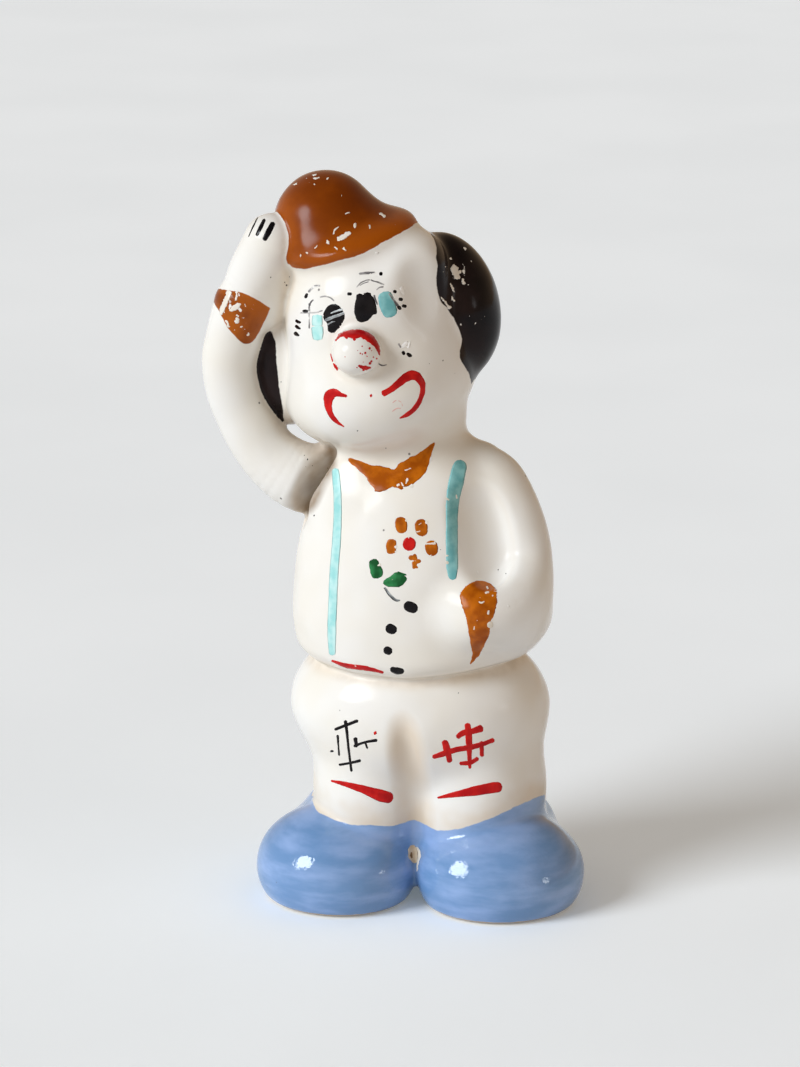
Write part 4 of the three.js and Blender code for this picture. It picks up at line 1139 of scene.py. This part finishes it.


# bare spots where the enamel has come off, and a few painted highlights laid the same way

chips = dict(paint="bareGlaze", slot="cream_glaze", tip=0.9, ragged=0.6, pitch=0.28, film=0.03,
             spacing=0.05, strokes=dict(
    hatLarge=((337, 240.6, 2.6), (343, 236.6, 5.6), (350.6, 232.4, 4)),
    hatStar=((326.4, 242.8, 5.4), (329.4, 241.4, 5.8)),
    hatScratch=((333.6, 234.4, 0.9), (335.4, 229.6, 1.3), (338.6, 226.4, 0.8)),
    hatLeft=((299.8, 255.6, 3.8), (301.4, 255.2, 3.8)),
    hatLeftUpper=((306.2, 253, 4.2), (308.2, 252.4, 4.2)),
    hatTear=((314.4, 248.8, 0.9), (316.4, 247, 1.5), (317.6, 244.6, 0.8)),
    hatMiddle=((354.2, 223.2, 3), (355.6, 227.4, 3.2)),
    hatLow=((344, 246.6, 1.8), (345.2, 250.6, 2.2)),
    hatLowLeft=((334.6, 247, 1.4), (338, 249.2, 1.6)),
    hatRight=((369.2, 224.4, 1.8), (370, 229, 2)),
    hatHigh=((345.6, 214.2, 1.4), (349.6, 212.6, 1.6)),
    hatSlope=((379.4, 213, 2), (386, 217, 3.4)),
    hatCrown=((312, 175, 1.4), (317, 174.2, 1.2)),
    hatTop=((313, 178.8, 2), (320, 177.6, 1.4)),
    hatTopLow=((314, 184.6, 3), (315.4, 183.8, 3)),
    hatTopRight=((326.4, 178.6, 1.2), (329.4, 178, 1.4)),
    hatDot=((309.8, 210.4, 1.4), (310.6, 210.8, 1.4)),
    hatDotRight=((341.2, 195, 1.2), (342.2, 195.4, 1.2)),
    hatDotLeft=((285.6, 195.4, 1.2), (286.4, 195, 1.2)),
    hatEdge=((293, 185, 0.8), (297.4, 182.6, 1.0)),
    hairLarge=((453, 264.4, 3), (454.6, 269.4, 8), (456.6, 275.6, 7), (459.4, 279, 3)),
    hairArm=((457, 273.6, 4), (461.4, 270.6, 3)),
    hairDot=((449.4, 257.8, 2), (452, 259.6, 1.8)),
    hairSide=((444.6, 267, 1.6), (445.8, 267.4, 1.6)),
    hairLow=((462.6, 278, 2), (464, 285, 2.4)),
    hairStreak=((450.4, 282.6, 1.2), (452, 288, 1.8), (454.4, 292.4, 1)),
    hairStreakLow=((452.2, 296.6, 1.6), (454, 302, 1.8)),
    hairRim=((441, 296.6, 1.2), (445.6, 302.4, 1.6), (450.6, 308.6, 2.6)),
    cuffUpper=((229.4, 310.8, 3), (233.4, 308.6, 5.4), (237, 306.4, 6), (240, 303, 3)),
    cuffMiddle=((237, 317.4, 4), (237.4, 323.4, 4.4)),
    cuffPink=((235.8, 315.2, 1.6), (239, 316.8, 1.8)),
    cuffLow=((248.7, 332.2, 1.8), (248, 336, 2.2)),
    cuffDot=((240, 327.6, 1.8), (242.6, 325.8, 2)),
    cuffDotLow=((244, 329.4, 1.4), (245.4, 329, 1.4)),
    cuffDotLeft=((234.4, 329.6, 1.6), (235.4, 329.8, 1.6)),
    cuffScratch=((244.6, 303.6, 1.2), (245.6, 307, 1.4)),
    # partly a painted highlight: pale glare streaks on the cuff's lit side, over some worn-through enamel
    cuffHighlight=((229.8, 290.6, 4.6), (226.6, 299, 6), (222.8, 308, 5.4), (220.2, 315, 3.6)),
    cuffHighlightRight=((236.6, 291.6, 1.8), (236.2, 300.4, 1.6)),
    cuffRim=((225.6, 320, 2.2), (227.6, 324, 2.8), (228.8, 327.6, 1.6)),
))
brushOn("chips", chips)

bites = dict(paint="bareGlaze", slot="cream_glaze", tip=0.9, ragged=0.35, pitch=0.28, film=0.03,
             spacing=0.04, strokes=dict(
    petalTopLeft=((405.4, 519.4, 1.8), (406.4, 522, 2)),
    petalTopRight=((425.4, 521.4, 3), (428, 523.4, 3.4)),
    petalScratch=((418.6, 525, 0.9), (421.6, 522.8, 1.2)),
    petalScratchLow=((416.6, 531.8, 1.0), (420.6, 531, 1.0)),
    petalLeft=((394.2, 546.4, 2), (397.4, 547.4, 3.6)),
    petalLeftLow=((394.6, 551.6, 1), (397, 551, 1.6)),
    petalRight=((425.6, 543.8, 1.8), (430.6, 543.8, 2), (436, 542.8, 2.4)),
    petalRightLow=((430.4, 557, 1.8), (431, 554.4, 1)),
    heart=((408.4, 536.4, 0.9), (408.8, 538.6, 1.2)),
    leafUpright=((377.4, 565.8, 2.4), (381, 564.4, 4)),
    leafLying=((391.8, 579.2, 2), (392.8, 579.6, 2)),
    tieLow=((396.4, 485.6, 2.6), (400, 484.4, 2.8)),
    tieLowRight=((401, 482, 1.4), (403.6, 486.6, 1.6)),
    tieMiddle=((405.8, 484.2, 2.2), (407, 480, 2.8), (407.6, 477.8, 1.8)),
    tieCorner=((409.8, 487.4, 3.6), (413, 484.4, 3.4)),
    tieScratch=((404.4, 470.4, 1.4), (408, 469.4, 1.6), (411.2, 468.2, 0.9)),
    braceNotch=((445.6, 498, 2.6), (449.6, 500.2, 2.2)),
    braceGlint=((456, 494.4, 1.8), (456.6, 499, 2)),
    braceLow=((445.6, 555, 2.4), (448.6, 556, 2)),
    braceLower=((445.6, 561.4, 3.6), (448.6, 563.6, 3)),
    patchTop=((486.6, 586, 2), (488, 589.4, 2.6)),
    patchUpper=((484.6, 592.8, 2.6), (489.4, 592, 2.8)),
    patchMiddle=((478.6, 601.6, 1.8), (481.6, 602.8, 2.6), (484.6, 601.2, 1.6)),
    patchDot=((479.6, 597.4, 2), (480.4, 598, 2)),
    patchRim=((492, 595, 1.8), (493.2, 596, 2)),
    patchTear=((488.8, 610, 1.6), (487.8, 614.8, 2.6)),
    patchBite=((490, 621.4, 5.6), (490, 625, 6.4), (490.4, 628.4, 5.6)),
    patchLow=((474.6, 626, 1.2), (473.8, 630, 1.9)),
    patchSpot=((477, 620, 1.3), (477.6, 621, 1.3)),
    hemGap=((354.8, 665, 1.2), (356.6, 666.6, 1.4)),
))
brushOn("bites", bites)

partingSpot = dict(paint="wornGlaze", slot="cream_glaze", tip=0.95, ragged=0.3, film=0.03, spacing=0.06,
                   strokes=dict(
    spot=((412.4, 845, 6), (412.8, 850, 9.4), (413.4, 856.4, 9.6), (415.4, 863, 4)),
))
brushOn("parting_spot", partingSpot)

# a painted highlight: a pale streak down the right side of the slip blob between the shoes
partingHighlight = dict(paint="bareGlaze", slot="cream_glaze", tip=0.95, ragged=0.3, film=0.04, spacing=0.06,
                  strokes=dict(
    rim=((416.8, 846.6, 1.6), (418.8, 851, 2.8), (419.2, 856.4, 2.8), (417.6, 863, 2.2),
         (416.8, 871.6, 1.2)),
))
brushOn("parting_rim", partingHighlight)

partingPit = dict(paint="bareClay", slot="bare_clay", tip=0.95, ragged=0.3, film=0.04, strokes=dict(
    pit=((411.6, 851.4, 1.8), (411.2, 855, 3.6), (411.8, 859, 1.8)),
))
brushOn("parting_pit", partingPit)
bpy.data.objects.remove(wholeSkin)


# floor and light

studio = dict(floorSize=6.0, floorColour=(0.94, 0.965, 0.99, 1), floorShade=0.96, floorRough=0.9,
              glowColour=(0.78, 0.92, 1.0, 1), floorGlow=0.17,
              windowSky=(0.535, 0.52, 0.50, 1), roomSky=(0.47, 0.335, 0.215, 1),
              windowWay=(-0.89, -0.43, 0.10), skyEdges=(-0.6, 0.95), skyHeights=(1.3, 0.36))
lamps = dict(
    window=dict(power=2.6, spread=28, colour=(0.89, 0.945, 1.0), comesFrom=(-0.69, -0.54, 0.49)),
    farWindow=dict(power=0.06, spread=7, colour=(0.95, 0.98, 1.0), comesFrom=(0.92, -0.37, 0.15)),
)


def addFloor():
    half = studio["floorSize"] / 2
    mesh = bpy.data.meshes.new("floor")
    corners = [(-half, -half, 0), (half, -half, 0), (half, half, 0), (-half, half, 0)]
    mesh.from_pydata(corners, [], [(0, 1, 2, 3)])
    material, tree, shader = startMaterial("paleFloor")
    pale = studio["floorColour"]
    shaded = (*(part * studio["floorShade"] for part in pale[:3]), 1)
    tree.links.new(mixed(tree, patchy(tree, "floor"), pale, shaded), shader.inputs["Base Color"])
    shader.inputs["Roughness"].default_value = studio["floorRough"]
    rays = addNode(tree, "ShaderNodeLightPath").outputs
    seen = calc(tree, "MAXIMUM", rays["Is Camera Ray"],
                calc(tree, "MAXIMUM", rays["Is Glossy Ray"], rays["Is Transmission Ray"]))
    shader.inputs["Emission Color"].default_value = studio["glowColour"]
    tree.links.new(times(tree, seen, studio["floorGlow"]), shader.inputs["Emission Strength"])
    mesh.materials.append(material)
    floor = bpy.data.objects.new("floor", mesh)
    scene.collection.objects.link(floor)


def addSky():
    world = bpy.data.worlds.new("studio")
    scene.world = world
    world.use_nodes = True
    tree = world.node_tree
    tree.nodes.clear()
    way = addNode(tree, "ShaderNodeTexCoord").outputs["Generated"]
    facing = addNode(tree, "ShaderNodeVectorMath", {0: way, 1: studio["windowWay"]}, operation="DOT_PRODUCT")
    share = ramp(tree, facing.outputs["Value"], *studio["skyEdges"])  # cool by the window, warm away from it
    colour = mixed(tree, share, studio["roomSky"], studio["windowSky"])
    height = addNode(tree, "ShaderNodeSeparateXYZ", {0: way}).outputs[2]
    strength = ramp(tree, height, 0.0, 1.0, *studio["skyHeights"])  # darker overhead
    sky = addNode(tree, "ShaderNodeBackground", {"Color": colour, "Strength": strength})
    addNode(tree, "ShaderNodeOutputWorld", {"Surface": sky.outputs[0]})


def addLamp(name, plan):
    lamp = bpy.data.lights.new(name, "SUN")
    lamp.energy, lamp.angle, lamp.color = plan["power"], radians(plan["spread"]), plan["colour"]
    holder = bpy.data.objects.new(name, lamp)
    holder.rotation_euler = (-Vector(plan["comesFrom"])).to_track_quat("-Z", "Y").to_euler()
    scene.collection.objects.link(holder)


addFloor()
addSky()
for name, plan in lamps.items():
    addLamp(name, plan)
scene.view_settings.view_transform = "Standard"
print("studio: set")
